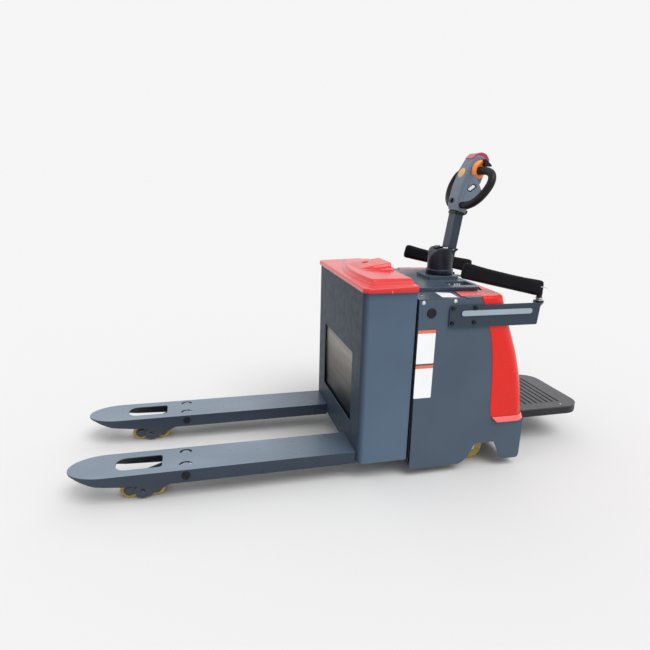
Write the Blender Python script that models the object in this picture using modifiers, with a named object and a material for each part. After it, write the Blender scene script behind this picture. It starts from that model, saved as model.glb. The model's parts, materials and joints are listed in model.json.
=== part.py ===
"""Ride-on electric pallet truck with stowed side guards, forks raised a hand's breadth.

Metres, +Z up. The forks point along -X, the operator stands at +X, and the left side is -Y.
Sizes along X are drawn from a datum 30 mm ahead of the forks' roots. Once everything is in
place, the truck is moved so that the origin is on the floor at the middle of its length.
"""
from math import atan2, cos, hypot, pi, radians, sin, tan

import bmesh
import bpy
from mathutils import Matrix, Vector

# Driving dimensions.
TRUCK_LENGTH = 2.377
FORK_LENGTH = 1.150
FORK_SPREAD = 0.685
FORK_WIDTH = 0.185
FORK_DEPTH = 0.056
FORK_TOP = 0.133
FORK_PLATE = 0.006
BODY_WIDTH = 0.754
BOX_WIDTH = 0.742
DECK_TOP = 0.796
LID_SEAT = 0.827
DRIVE_WHEEL_RADIUS = 0.120
CASTER_RADIUS = 0.0625
ROLLER_RADIUS = 0.037
TILLER_LEAN = radians(7.9)
HEAD_LEAN = radians(20.0)

# What touches keeps this gap.
GAP = 0.0003
SHEET = 0.006

# Stations along the truck.
TIP_X = -1.120
ROOT_X = TIP_X + FORK_LENGTH
REAR_X = TIP_X + TRUCK_LENGTH
MIDDLE_X = (TIP_X + REAR_X) / 2
BOX_REAR_X = ROOT_X + 0.221
BODY_X = BOX_REAR_X + 0.0066
SKIRT_X = 0.803
STEER_X = 0.5205
CASTER_X = 0.608
PLATFORM_X = 0.835
PLATFORM_Z = 0.170
PLATFORM_HALF = 0.220
PLATFORM_TOP = 0.190
PLATFORM_BOTTOM = 0.150
MAT_THICKNESS = 0.0063
MAT_GROOVES = 10
MAT_PITCH = 0.031
PIN_RADIUS = 0.0070

# Stations across and up.
FORK_Y = (FORK_SPREAD - FORK_WIDTH) / 2
FORK_BOTTOM = FORK_TOP - FORK_DEPTH
SIDE_Y = BODY_WIDTH / 2
INNER_Y = SIDE_Y - SHEET
BOX_BOTTOM = 0.0864
BOX_FLOOR = 0.135
SHELF_Z = 0.300
CONSOLE_TOP = 0.812
FLANGE_TOP = 0.831
CASTER_Y = 0.260
SWIVEL_X = CASTER_X - 0.030

# Load-wheel linkage: arm pivot, the rollers' bogie pin, and the lever that the rod pulls.
ARM_X = -0.672
ARM_Z = 0.108
BOGIE_X = -0.841
BOGIE_Z = ROLLER_RADIUS
ROLLER_OFFSET = 0.050
LEVER = 0.030
ROD_Z = ARM_Z - LEVER
ROCKER_X = 0.190

# Tiller.
TILLER_PIVOT = Vector((0.5514, 0.0, 0.885))
TUBE_LENGTH = 0.2403
TUBE_DEPTH = 0.040
TUBE_WIDTH = 0.068
TILLER_AXES = Matrix.Translation(TILLER_PIVOT) @ Matrix.Rotation(TILLER_LEAN, 4, "Y")
HEAD_AXES = (Matrix.Translation(TILLER_AXES @ Vector((0, 0, TUBE_LENGTH)))
             @ Matrix.Rotation(HEAD_LEAN, 4, "Y"))
HEAD_HALF = 0.045
BOOT_RADIUS = 0.0585
BOOT_TOP = 0.954
BOOT_HOLLOW = 0.0385
GRIP_RADIUS = 0.0165
# The D-shaped grip's centre line in the head's axes, from its upper root to its lower: back, across, up.
GRIP_LINE = [(-0.005, 0.036, 0.187), (0.004, 0.070, 0.191), (0.010, 0.114, 0.189), (0.012, 0.150, 0.174),
             (0.012, 0.168, 0.144), (0.008, 0.164, 0.104), (0.003, 0.136, 0.060), (-0.003, 0.088, 0.031),
             (-0.008, 0.036, 0.028)]
THROTTLE_BACK = 0.008
THROTTLE_UP = 0.228
BUTTON_UP = 0.190
BUTTON_RADIUS = 0.0085

# Side guards.
GUARD_X = 0.852
GUARD_Y = 0.308
GUARD_Z = 0.7745
GUARD_LENGTH = 0.404
GUARD_HEIGHT = 0.0755
GUARD_THICKNESS = 0.028
GUARD_RISE = radians(12.7)
BRACKET_FACE = 0.0085
BRACKET_END = 0.808
TAB_TOP = 0.756
TAB_HALF = 0.018

SIDES = (("left", -1), ("right", 1))
ROUND = 24
SMALL_ROUND = 14

for old in list(bpy.data.objects):
    bpy.data.objects.remove(old)
PARTS = bpy.data.collections.new("electric_pallet_truck")
TOOLS = bpy.data.collections.new("cutters")
for group in (PARTS, TOOLS):
    bpy.context.scene.collection.children.link(group)


# ---------------------------------------------------------------- materials

def material(name, colour, roughness, metallic=0.0):
    """A Principled material of one colour."""
    made = bpy.data.materials.new(name)
    made.use_nodes = True
    shader = made.node_tree.nodes["Principled BSDF"]
    shader.inputs["Base Color"].default_value = (*colour, 1.0)
    shader.inputs["Roughness"].default_value = roughness
    shader.inputs["Metallic"].default_value = metallic
    made.diffuse_color = (*colour, 1.0)
    return made


BODY_PAINT = material("body_paint", (0.080, 0.107, 0.140), 0.35)
RED_COVER = material("red_cover", (0.76, 0.035, 0.025), 0.30)
BLACK_PLASTIC = material("black_plastic", (0.018, 0.019, 0.022), 0.55)
GREY_PLASTIC = material("grey_plastic", (0.19, 0.23, 0.28), 0.45)
ORANGE_PLASTIC = material("orange_plastic", (0.85, 0.33, 0.12), 0.40)
RUBBER = material("rubber", (0.022, 0.022, 0.024), 0.75)
POLYURETHANE = material("polyurethane", (0.42, 0.30, 0.07), 0.50)
STEEL = material("steel", (0.50, 0.51, 0.53), 0.35, 1.0)
CAST_IRON = material("cast_iron", (0.06, 0.065, 0.07), 0.60, 0.6)
BATTERY_CASE = material("battery_case", (0.17, 0.16, 0.14), 0.40, 0.3)


# ---------------------------------------------------------------- modelling helpers

def finish(mesh_builder, name, finish_material):
    """Turn a bmesh into an object: a part if it has a material, else a cutter."""
    mesh = bpy.data.meshes.new(name)
    mesh_builder.to_mesh(mesh)
    mesh_builder.free()
    made = bpy.data.objects.new(name, mesh)
    return place(made, finish_material)


def place(made, finish_material):
    """Put an object in its collection, with its material or as a hidden wire tool."""
    if finish_material is None:
        TOOLS.objects.link(made)
        made.hide_render = True
        made.display_type = "WIRE"
    else:
        PARTS.objects.link(made)
        made.data.materials.append(finish_material)
    return made


def smooth(made, angle=35.0):
    """Shade a round piece smooth, with its edges sharp."""
    made.data.shade_smooth()
    made.data.set_sharp_from_angle(angle=radians(angle))
    return made


def box(name, low, high, finish_material=None, axes=Matrix()):
    """A box between two corners, in the given axes."""
    low, high = Vector(low), Vector(high)
    size = high - low
    shape = (axes @ Matrix.Translation((low + high) / 2)
             @ Matrix.Diagonal((size.x, size.y, size.z, 1.0)))
    builder = bmesh.new()
    bmesh.ops.create_cube(builder, size=1.0, matrix=shape)
    return finish(builder, name, finish_material)


def rod(name, start, end, radius, finish_material=None, segments=ROUND, axes=Matrix(), end_radius=None):
    """A cylinder, or a cone, between two points."""
    start, end = axes @ Vector(start), axes @ Vector(end)
    along = end - start
    turn = along.to_track_quat("Z", "Y").to_matrix().to_4x4()
    builder = bmesh.new()
    bmesh.ops.create_cone(
        builder, cap_ends=True, segments=segments, radius1=radius,
        radius2=radius if end_radius is None else end_radius, depth=along.length,
        matrix=Matrix.Translation((start + end) / 2) @ turn)
    return smooth(finish(builder, name, finish_material))


def rounded(corners, steps=5):
    """An outline whose corners (u, v, radius) are turned into arcs."""
    outline = []
    count = len(corners)
    for index, (u, v, radius) in enumerate(corners):
        if radius == 0:
            outline.append((u, v))
            continue
        here = Vector((u, v))
        back = (Vector(corners[index - 1][:2]) - here).normalized()
        ahead = (Vector(corners[(index + 1) % count][:2]) - here).normalized()
        half = back.angle(ahead) / 2
        centre = here + (back + ahead).normalized() * radius / sin(half)
        first = here + back * radius / tan(half) - centre
        last = here + ahead * radius / tan(half) - centre
        start = atan2(first.y, first.x)
        sweep = (atan2(last.y, last.x) - start + pi) % (2 * pi) - pi
        for step in range(steps + 1):
            angle = start + sweep * step / steps
            outline.append((centre.x + radius * cos(angle), centre.y + radius * sin(angle)))
    return outline


PLANES = {
    "XY": Matrix.Identity(4),
    "XZ": Matrix(((1, 0, 0, 0), (0, 0, -1, 0), (0, 1, 0, 0), (0, 0, 0, 1))),
    "YZ": Matrix(((0, 0, 1, 0), (1, 0, 0, 0), (0, 1, 0, 0), (0, 0, 0, 1))),
}


def plate(name, outline, plane, low, high, finish_material=None, axes=Matrix()):
    """A flat outline, drawn in a plane and made solid between two offsets from it."""
    curve = bpy.data.curves.new(name, "CURVE")
    curve.dimensions = "2D"
    curve.fill_mode = "BOTH"
    curve.extrude = (high - low) / 2
    spline = curve.splines.new("POLY")
    spline.points.add(len(outline) - 1)
    for point, (u, v) in zip(spline.points, outline):
        point.co = (u, v, 0, 1)
    spline.use_cyclic_u = True
    offset = (low + high) / 2
    if plane == "XZ":
        offset = -offset
    drawn = bpy.data.objects.new(name + "_outline", curve)
    drawn.matrix_world = axes @ PLANES[plane] @ Matrix.Translation((0, 0, offset))
    return meshed(name, drawn, finish_material)


def meshed(name, drawn, finish_material):
    """Make a curve object into a closed mesh object and remove the curve."""
    bpy.context.scene.collection.objects.link(drawn)
    bpy.context.view_layer.update()
    source = drawn.evaluated_get(bpy.context.evaluated_depsgraph_get())
    mesh = bpy.data.meshes.new_from_object(source)
    mesh.transform(drawn.matrix_world)
    bpy.data.objects.remove(drawn)
    mesh.name = name
    mesh.materials.clear()
    builder = bmesh.new()
    builder.from_mesh(mesh)
    bmesh.ops.remove_doubles(builder, verts=builder.verts, dist=0.00001)
    bmesh.ops.dissolve_limit(builder, angle_limit=radians(0.05), verts=builder.verts, edges=builder.edges)
    bmesh.ops.recalc_face_normals(builder, faces=builder.faces)
    builder.to_mesh(mesh)
    builder.free()
    return place(bpy.data.objects.new(name, mesh), finish_material)


def tube(name, points, radius, finish_material=None, sides=3):
    """A round bar along a list of points."""
    curve = bpy.data.curves.new(name, "CURVE")
    curve.dimensions = "3D"
    curve.bevel_depth = radius
    curve.bevel_resolution = sides
    curve.use_fill_caps = True
    spline = curve.splines.new("POLY")
    spline.points.add(len(points) - 1)
    for point, place_at in zip(spline.points, points):
        point.co = (*place_at, 1)
    drawn = bpy.data.objects.new(name + "_path", curve)
    return smooth(meshed(name, drawn, finish_material), 60.0)


def smooth_path(points, steps=4):
    """A Catmull-Rom curve through the points."""
    points = [Vector(point) for point in points]
    padded = [2 * points[0] - points[1], *points, 2 * points[-1] - points[-2]]
    path = []
    for index in range(len(points) - 1):
        before, start, end, after = padded[index:index + 4]
        for step in range(steps):
            t = step / steps
            path.append(0.5 * (2 * start + (end - before) * t
                               + (2 * before - 5 * start + 4 * end - after) * t ** 2
                               + (3 * start - before - 3 * end + after) * t ** 3))
    path.append(points[-1])
    return path


def boolean(made, tools, operation):
    """Cut the tools from an object, or join them to it."""
    for tool in tools:
        modifier = made.modifiers.new(tool.name, "BOOLEAN")
        modifier.operation = operation
        modifier.solver = "EXACT"
        modifier.object = tool
    return made


def cut(made, *tools):
    return boolean(made, tools, "DIFFERENCE")


def join(made, *tools):
    return boolean(made, tools, "UNION")


def bevel(made, width, segments=2, angle=50.0):
    """Round the sharp edges."""
    modifier = made.modifiers.new("rounded_edges", "BEVEL")
    modifier.width = width
    modifier.segments = segments
    modifier.limit_method = "ANGLE"
    modifier.angle_limit = radians(angle)
    return made


def pivot(name, location, parent=None):
    """An empty on a joint's axis, for a moving body's pieces to hang from."""
    made = bpy.data.objects.new(name, None)
    made.empty_display_size = 0.05
    PARTS.objects.link(made)
    made.matrix_world = Matrix.Translation(Vector(location))
    if parent is not None:
        hang(parent, made)
    return made


def hang(parent, *pieces):
    """Parent pieces without moving them."""
    bpy.context.view_layer.update()
    for piece in pieces:
        piece.parent = parent
        piece.matrix_parent_inverse = parent.matrix_world.inverted()


def fork_outline(centre_y):
    """The plan of a fork: straight sides and a half-elliptic nose."""
    half = FORK_WIDTH / 2
    nose_length = 0.140
    nose_x = TIP_X + nose_length
    steps = 16
    outline = [(ROOT_X - GAP, centre_y + half)]
    for step in range(steps + 1):
        angle = pi * step / steps
        outline.append((nose_x - nose_length * sin(angle), centre_y + half * cos(angle)))
    outline.append((ROOT_X - GAP, centre_y - half))
    return outline


def half_moon(name, centre_x, centre_y):
    """A half-round slot through the fork's top."""
    outer, inner, steps = 0.026, 0.017, 8
    outline = []
    for radius, order in ((outer, range(steps + 1)), (inner, range(steps, -1, -1))):
        for step in order:
            angle = pi * step / steps
            outline.append((centre_x + radius * cos(angle), centre_y + radius * sin(angle)))
    return plate(name, outline, "XY", FORK_TOP - 0.02, FORK_TOP + 0.01)


def make_fork(side, sign):
    """An inverted channel whose underside tapers to a thin nose, open over the load wheels."""
    y = sign * FORK_Y
    name = "fork_" + side
    inner = FORK_WIDTH / 2 - FORK_PLATE
    made = plate(name, fork_outline(y), "XY", FORK_BOTTOM, FORK_TOP, BODY_PAINT)
    taper = plate(name + "_taper", [
        (TIP_X - 0.02, FORK_TOP - 0.007), (TIP_X + 0.030, FORK_TOP - 0.010),
        (TIP_X + 0.062, FORK_TOP - 0.021), (TIP_X + 0.107, FORK_TOP - 0.036),
        (TIP_X + 0.207, FORK_TOP - 0.049), (TIP_X + 0.370, FORK_BOTTOM),
        (TIP_X + 0.370, FORK_BOTTOM - 0.02), (TIP_X - 0.02, FORK_BOTTOM - 0.02),
    ], "XZ", y - FORK_WIDTH, y + FORK_WIDTH)
    channel = box(name + "_channel", (TIP_X + 0.145, y - inner, FORK_BOTTOM - 0.02),
                  (ROOT_X + 0.01, y + inner, FORK_TOP - FORK_PLATE))
    hole = plate(name + "_hole", rounded([
        (TIP_X + 0.178, y - 0.047, 0.040), (TIP_X + 0.356, y - 0.047, 0.014),
        (TIP_X + 0.356, y + 0.047, 0.014), (TIP_X + 0.178, y + 0.047, 0.040),
    ]), "XY", FORK_TOP - 0.02, FORK_TOP + 0.01)
    moons = [half_moon(f"{name}_moon_{n}", ARM_X, y + shift) for n, shift in enumerate((0.050, -0.050))]
    bore = rod(name + "_bore", (ARM_X, y - 0.1, ARM_Z), (ARM_X, y + 0.1, ARM_Z), 0.0103, segments=SMALL_ROUND)
    return cut(made, taper, channel, hole, *moons, bore)


def make_arm_axle(side, sign):
    """The bolt that carries the load arm, across the fork's channel."""
    y = sign * FORK_Y
    reach = FORK_WIDTH / 2
    shaft = rod("arm_axle_" + side, (ARM_X, y - reach - 0.001, ARM_Z),
                (ARM_X, y + reach + 0.001, ARM_Z), 0.010, STEEL, SMALL_ROUND)
    heads = []
    for n, end in enumerate((-1, 1)):
        start = y + end * (reach + GAP)
        heads.append(rod(f"arm_axle_{side}_head_{n}", (ARM_X, start, ARM_Z),
                         (ARM_X, start + end * 0.004, ARM_Z), 0.0165, segments=SMALL_ROUND))
    return join(shaft, *heads)


def make_battery_box():
    """The battery compartment: a sheet box with a window, open above and below its floor."""
    half = BOX_WIDTH / 2
    wall = 0.005

    def plan(inset, front_radius, rear_radius):
        return rounded([
            (ROOT_X + inset, -half + inset, front_radius), (BOX_REAR_X - inset, -half + inset, rear_radius),
            (BOX_REAR_X - inset, half - inset, rear_radius), (ROOT_X + inset, half - inset, front_radius)])

    made = plate("battery_box", plan(0, 0.030, 0.006), "XY", BOX_BOTTOM, LID_SEAT, BODY_PAINT)
    inside = plan(wall, 0.025, 0.003)
    above = plate("battery_box_inside", inside, "XY", BOX_FLOOR + SHEET, LID_SEAT + 0.01)
    below = plate("battery_box_underside", inside, "XY", BOX_BOTTOM - 0.01, BOX_FLOOR)
    window = plate("battery_box_window", rounded([
        (-0.236, 0.224, 0.004), (0.236, 0.224, 0.004), (0.236, 0.544, 0.004), (-0.236, 0.544, 0.004),
    ], 2), "YZ", ROOT_X - 0.02, ROOT_X + 0.02)
    slots = [box(f"battery_box_rod_slot_{side}", (ROOT_X - 0.02, sign * FORK_Y - 0.025, BOX_BOTTOM - 0.02),
                 (ROOT_X + 0.02, sign * FORK_Y + 0.025, FORK_TOP - 0.020)) for side, sign in SIDES]
    ram_hole = box("battery_box_ram_hole", (BOX_REAR_X - 0.02, -0.040, 0.680),
                   (BOX_REAR_X + 0.02, 0.040, 0.700))
    return cut(made, above, below, window, *slots, ram_hole)


def make_battery():
    """The steel battery tray with its lifting eyes as shallow lugs on top."""
    low_z = BOX_FLOOR + SHEET + GAP
    tray = box("battery_pack", (ROOT_X + 0.012, -0.335, low_z), (BOX_REAR_X - 0.012, 0.335, 0.640),
               BATTERY_CASE)
    lugs = [box(f"battery_lug_{side}", (ROOT_X + 0.06, sign * 0.30 - 0.012, 0.60),
                (BOX_REAR_X - 0.06, sign * 0.30 + 0.012, 0.672)) for side, sign in SIDES]
    bars = [rod(f"battery_lug_hole_{side}", (0.140, sign * 0.27, 0.656), (0.140, sign * 0.33, 0.656), 0.009,
                segments=12) for side, sign in SIDES]
    return cut(join(tray, *lugs), *bars)


def make_lift_ram():
    """The carriage's lifting hook, which reaches over the cylinder, with the ram under it."""
    hook = box("lift_ram", (BOX_REAR_X - 0.012, -0.038, 0.682), (0.345, 0.038, 0.698), STEEL)
    ram = rod("lift_ram_rod", (0.305, 0, 0.400), (0.305, 0, 0.690), 0.0180)
    return join(hook, ram)


def make_lid():
    """The moulded battery lid with its raised bow."""
    half = BOX_WIDTH / 2 + 0.011
    front, rear = ROOT_X - 0.0065, BODY_X - 0.0035
    rim_top = 0.850
    made = plate("battery_lid", rounded([
        (front, -half, 0.030), (rear, -half, 0.012), (rear, half, 0.012), (front, half, 0.030),
    ]), "XY", LID_SEAT + GAP, rim_top, RED_COVER)
    pocket = box("battery_lid_pocket", (front + 0.025, -half + 0.025, LID_SEAT - 0.01),
                 (rear - 0.025, half - 0.025, rim_top - 0.006))
    bow = plate("battery_lid_bow", rounded([
        (0.068, -0.325, 0.030), (0.240, -0.290, 0.020), (0.240, 0.255, 0.030), (0.105, 0.240, 0.060),
        (0.062, 0.020, 0.200),
    ]), "XY", rim_top - 0.004, 0.872)
    bow_pocket = plate("battery_lid_bow_pocket", rounded([
        (0.078, -0.312, 0.025), (0.229, -0.280, 0.015), (0.229, 0.245, 0.025), (0.111, 0.230, 0.055),
        (0.072, 0.020, 0.195),
    ]), "XY", rim_top - 0.012, 0.866)
    return cut(join(made, bow), pocket, bow_pocket)


# ---------------------------------------------------------------- load wheels

def link_outline(ends, radii, steps=6):
    """The outline of a flat link: round ends joined by their tangents, as a hull."""
    (x0, z0), (x1, z1) = ends
    r0, r1 = radii
    run = hypot(x1 - x0, z1 - z0)
    heading = atan2(z1 - z0, x1 - x0)
    lean = atan2(r0 - r1, run)
    outline = []
    start = heading + pi / 2 - lean
    for step in range(steps + 1):
        angle = start + (pi + 2 * lean) * step / steps
        outline.append((x0 + r0 * cos(angle), z0 + r0 * sin(angle)))
    start = heading - pi / 2 + lean
    for step in range(steps + 1):
        angle = start + (pi - 2 * lean) * step / steps
        outline.append((x1 + r1 * cos(angle), z1 + r1 * sin(angle)))
    return outline


def make_load_arm(side, sign):
    """Two side plates on a pivot sleeve, with a cross web and the lever for the pull rod."""
    y = sign * FORK_Y
    name = "load_arm_" + side
    inner, outer = 0.050, 0.058
    sleeve = rod(name, (ARM_X, y - outer, ARM_Z), (ARM_X, y + outer, ARM_Z), 0.015, BODY_PAINT, SMALL_ROUND)
    outline = link_outline(((ARM_X, ARM_Z), (BOGIE_X, BOGIE_Z)), (0.018, 0.030))
    plates = [plate(f"{name}_plate_{n}", outline, "XZ", *sorted((y + end * inner, y + end * outer)))
              for n, end in enumerate((-1, 1))]
    slope = atan2(ARM_Z - BOGIE_Z, ARM_X - BOGIE_X)
    along = Matrix.Translation((ARM_X, y, ARM_Z)) @ Matrix.Rotation(-slope, 4, "Y")
    web = box(name + "_web", (-0.040, -inner - 0.002, -0.006), (-0.026, inner + 0.002, 0.010), axes=along)
    lever = link_outline(((ARM_X, ARM_Z), (ARM_X, ROD_Z)), (0.012, 0.010))
    cheeks = [plate(f"{name}_cheek_{n}", lever, "XZ", *sorted((y + end * 0.009, y + end * 0.015)))
              for n, end in enumerate((-1, 1))]
    pin = rod(name + "_pin", (ARM_X, y - 0.012, ROD_Z), (ARM_X, y + 0.012, ROD_Z), 0.005, segments=12)
    bore = rod(name + "_bore", (ARM_X, y - 0.07, ARM_Z), (ARM_X, y + 0.07, ARM_Z), 0.0104,
               segments=SMALL_ROUND)
    boss = rod(name + "_boss", (BOGIE_X, y - 0.07, BOGIE_Z), (BOGIE_X, y + 0.07, BOGIE_Z), 0.0083,
               segments=SMALL_ROUND)
    return cut(join(sleeve, *plates, web, *cheeks, pin), bore, boss)


def make_bogie(side, sign):
    """The rocking frame that carries two rollers on their axles."""
    y = sign * FORK_Y
    name = "bogie_" + side
    inner, outer = 0.041, 0.047
    axle = rod(name, (BOGIE_X, y - 0.064, BOGIE_Z), (BOGIE_X, y + 0.064, BOGIE_Z), 0.0080, STEEL, SMALL_ROUND)
    outline = link_outline(((BOGIE_X - ROLLER_OFFSET, BOGIE_Z), (BOGIE_X + ROLLER_OFFSET, BOGIE_Z)),
                           (0.016, 0.016))
    plates = [plate(f"{name}_plate_{n}", outline, "XZ", *sorted((y + end * inner, y + end * outer)))
              for n, end in enumerate((-1, 1))]
    axles = [rod(f"{name}_axle_{n}", (BOGIE_X + shift, y - 0.044, BOGIE_Z),
                 (BOGIE_X + shift, y + 0.044, BOGIE_Z),
                 0.0080, segments=SMALL_ROUND) for n, shift in enumerate((-ROLLER_OFFSET, ROLLER_OFFSET))]
    return join(axle, *plates, *axles)


def turned(name, profile, centre, finish_material, segments=ROUND):
    """A turned wheel on a crosswise axle: its profile is a list of (radius, offset along Y)."""
    mesh = bpy.data.meshes.new(name)
    builder = bmesh.new()
    corners = [builder.verts.new((radius, 0, offset)) for radius, offset in profile]
    for first, second in zip(corners, corners[1:] + corners[:1]):
        builder.edges.new((first, second))
    builder.to_mesh(mesh)
    builder.free()
    made = place(bpy.data.objects.new(name, mesh), finish_material)
    made.matrix_world = Matrix.Translation(Vector(centre)) @ Matrix.Rotation(pi / 2, 4, "X")
    screw = made.modifiers.new("turned", "SCREW")
    screw.axis = "Z"
    screw.angle = 2 * pi
    screw.steps = segments
    screw.render_steps = segments
    screw.use_merge_vertices = True
    screw.merge_threshold = 0.0001
    screw.use_smooth_shade = False
    return made


def wheel_profile(radius, half_width, bore, shoulder):
    """A wheel's section, from the top of its tread down its outer side and back up its bore."""
    return [
        (radius, half_width - shoulder), (radius, -half_width + shoulder), (radius - shoulder, -half_width),
        (bore, -half_width), (bore, half_width), (radius - shoulder, half_width)]


def make_roller(side, sign, place_name, shift):
    centre = (BOGIE_X + shift, sign * FORK_Y, BOGIE_Z)
    return turned(f"load_roller_{side}_{place_name}", wheel_profile(ROLLER_RADIUS, 0.0385, 0.0082, 0.003),
                  centre, POLYURETHANE, 24)


def make_pull_rod(side, sign):
    """A rod with an eye at each end, from the rocker under the battery to the load arm's lever."""
    y = sign * FORK_Y
    name = "pull_rod_" + side
    bar = rod(name, (ARM_X + 0.010, y, ROD_Z), (ROCKER_X - 0.010, y, ROD_Z), 0.0070, STEEL, 12)
    ends = []
    holes = []
    for n, x in enumerate((ARM_X, ROCKER_X)):
        ends.append(rod(f"{name}_eye_{n}", (x, y - 0.0075, ROD_Z), (x, y + 0.0075, ROD_Z), 0.0135,
                        segments=SMALL_ROUND))
        holes.append(rod(f"{name}_hole_{n}", (x, y - 0.02, ROD_Z), (x, y + 0.02, ROD_Z), 0.0088,
                         segments=SMALL_ROUND))
    return cut(join(bar, *ends), *holes)


def make_rocker():
    """The cross shaft under the battery that pulls both rods as the carriage rises."""
    shaft = rod("rocker_shaft", (ROCKER_X, -0.310, ARM_Z), (ROCKER_X, 0.310, ARM_Z), 0.0125, STEEL,
                SMALL_ROUND)
    tools = []
    lever = link_outline(((ROCKER_X, ARM_Z), (ROCKER_X, ROD_Z)), (0.012, 0.010))
    for side, sign in SIDES:
        y = sign * FORK_Y
        for n, end in enumerate((-1, 1)):
            tools.append(plate(f"rocker_cheek_{side}_{n}", lever, "XZ",
                               *sorted((y + end * 0.009, y + end * 0.015))))
        tools.append(rod(f"rocker_pin_{side}", (ROCKER_X, y - 0.012, ROD_Z),
                         (ROCKER_X, y + 0.012, ROD_Z), 0.005,
                         segments=12))
    return join(shaft, *tools)


# ---------------------------------------------------------------- chassis

def cover_edge():
    """The red cover's front edge on the side panels, from its foot up to the deck."""
    return [(0.666, 0.236), (0.642, 0.250), (0.632, 0.272), (0.627, 0.330), (0.625, 0.377), (0.620, 0.450),
            (0.610, 0.540), (0.596, 0.620), (0.579, 0.677), (0.560, 0.735), (0.534, 0.796)]


def make_side_panel(side, sign):
    """The side skirt, cut away for the caster, its rear edge fitted to the red cover."""
    seam = 0.0010
    lower = rounded([
        (BODY_X, DECK_TOP, 0.003), (BODY_X + 0.008, 0.036, 0.010), (0.505, 0.039, 0.020),
        (0.540, 0.066, 0.020), (0.572, 0.131, 0.020), (0.668, 0.131, 0.010), (0.714, 0.038, 0.018),
        (SKIRT_X, 0.038, 0.018), (SKIRT_X, 0.232, 0.003)], 4)
    seam_line = [(x - seam, z) for x, z in cover_edge()]
    outline = lower + [(0.668, 0.232)] + seam_line
    name = "side_panel_" + side
    made = plate(name, outline, "XZ", *sorted((sign * INNER_Y, sign * SIDE_Y)), BODY_PAINT)
    holes = [rod(f"{name}_hole_{n}", (x, sign * (SIDE_Y - 0.02), z), (x, sign * (SIDE_Y + 0.02), z), 0.0066,
                 segments=12) for n, (x, z) in enumerate(stud_places())]
    return cut(made, *holes)


def make_frame():
    """Front bulkhead, shelf over the drive, caster posts and bearing ring, welded as one."""
    width = INNER_Y - GAP
    bulkhead = box("chassis_frame", (BODY_X, -width, 0.060), (BODY_X + SHEET, width, DECK_TOP - 0.0083),
                   BODY_PAINT)
    slot = box("chassis_frame_slot", (BODY_X - 0.01, -0.050, 0.620), (BODY_X + 0.02, 0.050, 0.784))
    shelf = box("chassis_frame_shelf", (BODY_X + 0.002, -width, SHELF_Z), (0.750, width, SHELF_Z + 0.008))
    motor_hole = rod("chassis_frame_motor_hole", (STEER_X, 0, SHELF_Z - 0.05),
                     (STEER_X, 0, SHELF_Z + 0.05), 0.090)
    ring = rod("chassis_frame_ring", (STEER_X, 0, SHELF_Z - 0.014), (STEER_X, 0, SHELF_Z + 0.004), 0.118)
    posts = [box(f"chassis_frame_post_{side}", (CASTER_X - 0.075, sign * CASTER_Y - 0.045, 0.170),
                 (CASTER_X + 0.015, sign * CASTER_Y + 0.045, SHELF_Z + 0.004)) for side, sign in SIDES]
    ribs = [box(f"chassis_frame_rib_{side}", (BODY_X + 0.003, sign * 0.300 - 0.004, SHELF_Z + 0.004),
                (0.420, sign * 0.300 + 0.004, 0.700)) for side, sign in SIDES]
    return cut(join(bulkhead, shelf, ring, *posts, *ribs), slot, motor_hole)


def make_rear_skirt():
    """The plate under the red cover, with the platform's hinge lugs and pin."""
    width = INNER_Y - GAP
    made = box("rear_skirt", (SKIRT_X - SHEET, -width, 0.045), (SKIRT_X, width, 0.229), BODY_PAINT)
    inner, outer = PLATFORM_HALF + 0.007, PLATFORM_HALF + 0.017
    lug = rounded([
        (SKIRT_X - 0.003, PLATFORM_Z - 0.040, 0), (PLATFORM_X + 0.012, PLATFORM_Z - 0.020, 0.010),
        (PLATFORM_X + 0.012, PLATFORM_Z + 0.015, 0.010), (SKIRT_X - 0.003, PLATFORM_Z + 0.025, 0)], 3)
    lugs = [plate("rear_skirt_lug_" + side, lug, "XZ", *sorted((sign * inner, sign * outer)))
            for side, sign in SIDES]
    reach = (inner + outer) / 2
    pin = rod("rear_skirt_pin", (PLATFORM_X, -reach, PLATFORM_Z), (PLATFORM_X, reach, PLATFORM_Z),
              PIN_RADIUS, segments=16)
    return join(made, *lugs, pin)


def make_rear_cover():
    """The moulded red cover: rings of points lofted from its foot to the deck, then thickened."""
    edge = cover_edge()
    # Height, rear station at the middle, how far its corners come forward, and its half width.
    levels = [(0.236, 0.806, 0.050), (0.272, 0.806, 0.050), (0.377, 0.790, 0.054), (0.450, 0.775, 0.058),
              (0.540, 0.751, 0.060), (0.620, 0.721, 0.062), (0.677, 0.699, 0.064), (0.735, 0.678, 0.066),
              (0.786, 0.661, 0.068)]
    crown = [(0.797, 0.656, 0.064, 0.003), (0.800, 0.648, 0.056, 0.013)]
    rings = []
    for z, rear, corner in levels:
        front = next_front(edge, z)
        rings.append(cover_ring(front, rear, corner, SIDE_Y + 0.0005, z))
    for z, rear, corner, inset in crown:
        rings.append(cover_ring(next_front(edge, z) + inset, rear, corner, SIDE_Y + 0.0005 - inset, z))
    builder = bmesh.new()
    grid = [[builder.verts.new(point) for point in ring] for ring in rings]
    for lower, upper in zip(grid, grid[1:]):
        for n in range(len(lower) - 1):
            builder.faces.new((lower[n], lower[n + 1], upper[n + 1], upper[n]))
    top = grid[-1]
    inner = [builder.verts.new((x, y, top[0].co.z)) for x, y in (
        (0.475, 0.262), (0.606, 0.252), (0.632, 0.175), (0.632, -0.175), (0.606, -0.252), (0.475, -0.262))]
    builder.faces.new(top + inner)
    bmesh.ops.recalc_face_normals(builder, faces=builder.faces)
    made = finish(builder, "rear_cover", RED_COVER)
    shell = made.modifiers.new("wall", "SOLIDIFY")
    shell.thickness = 0.004
    shell.offset = -1.0
    return smooth(made, 40.0)


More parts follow.
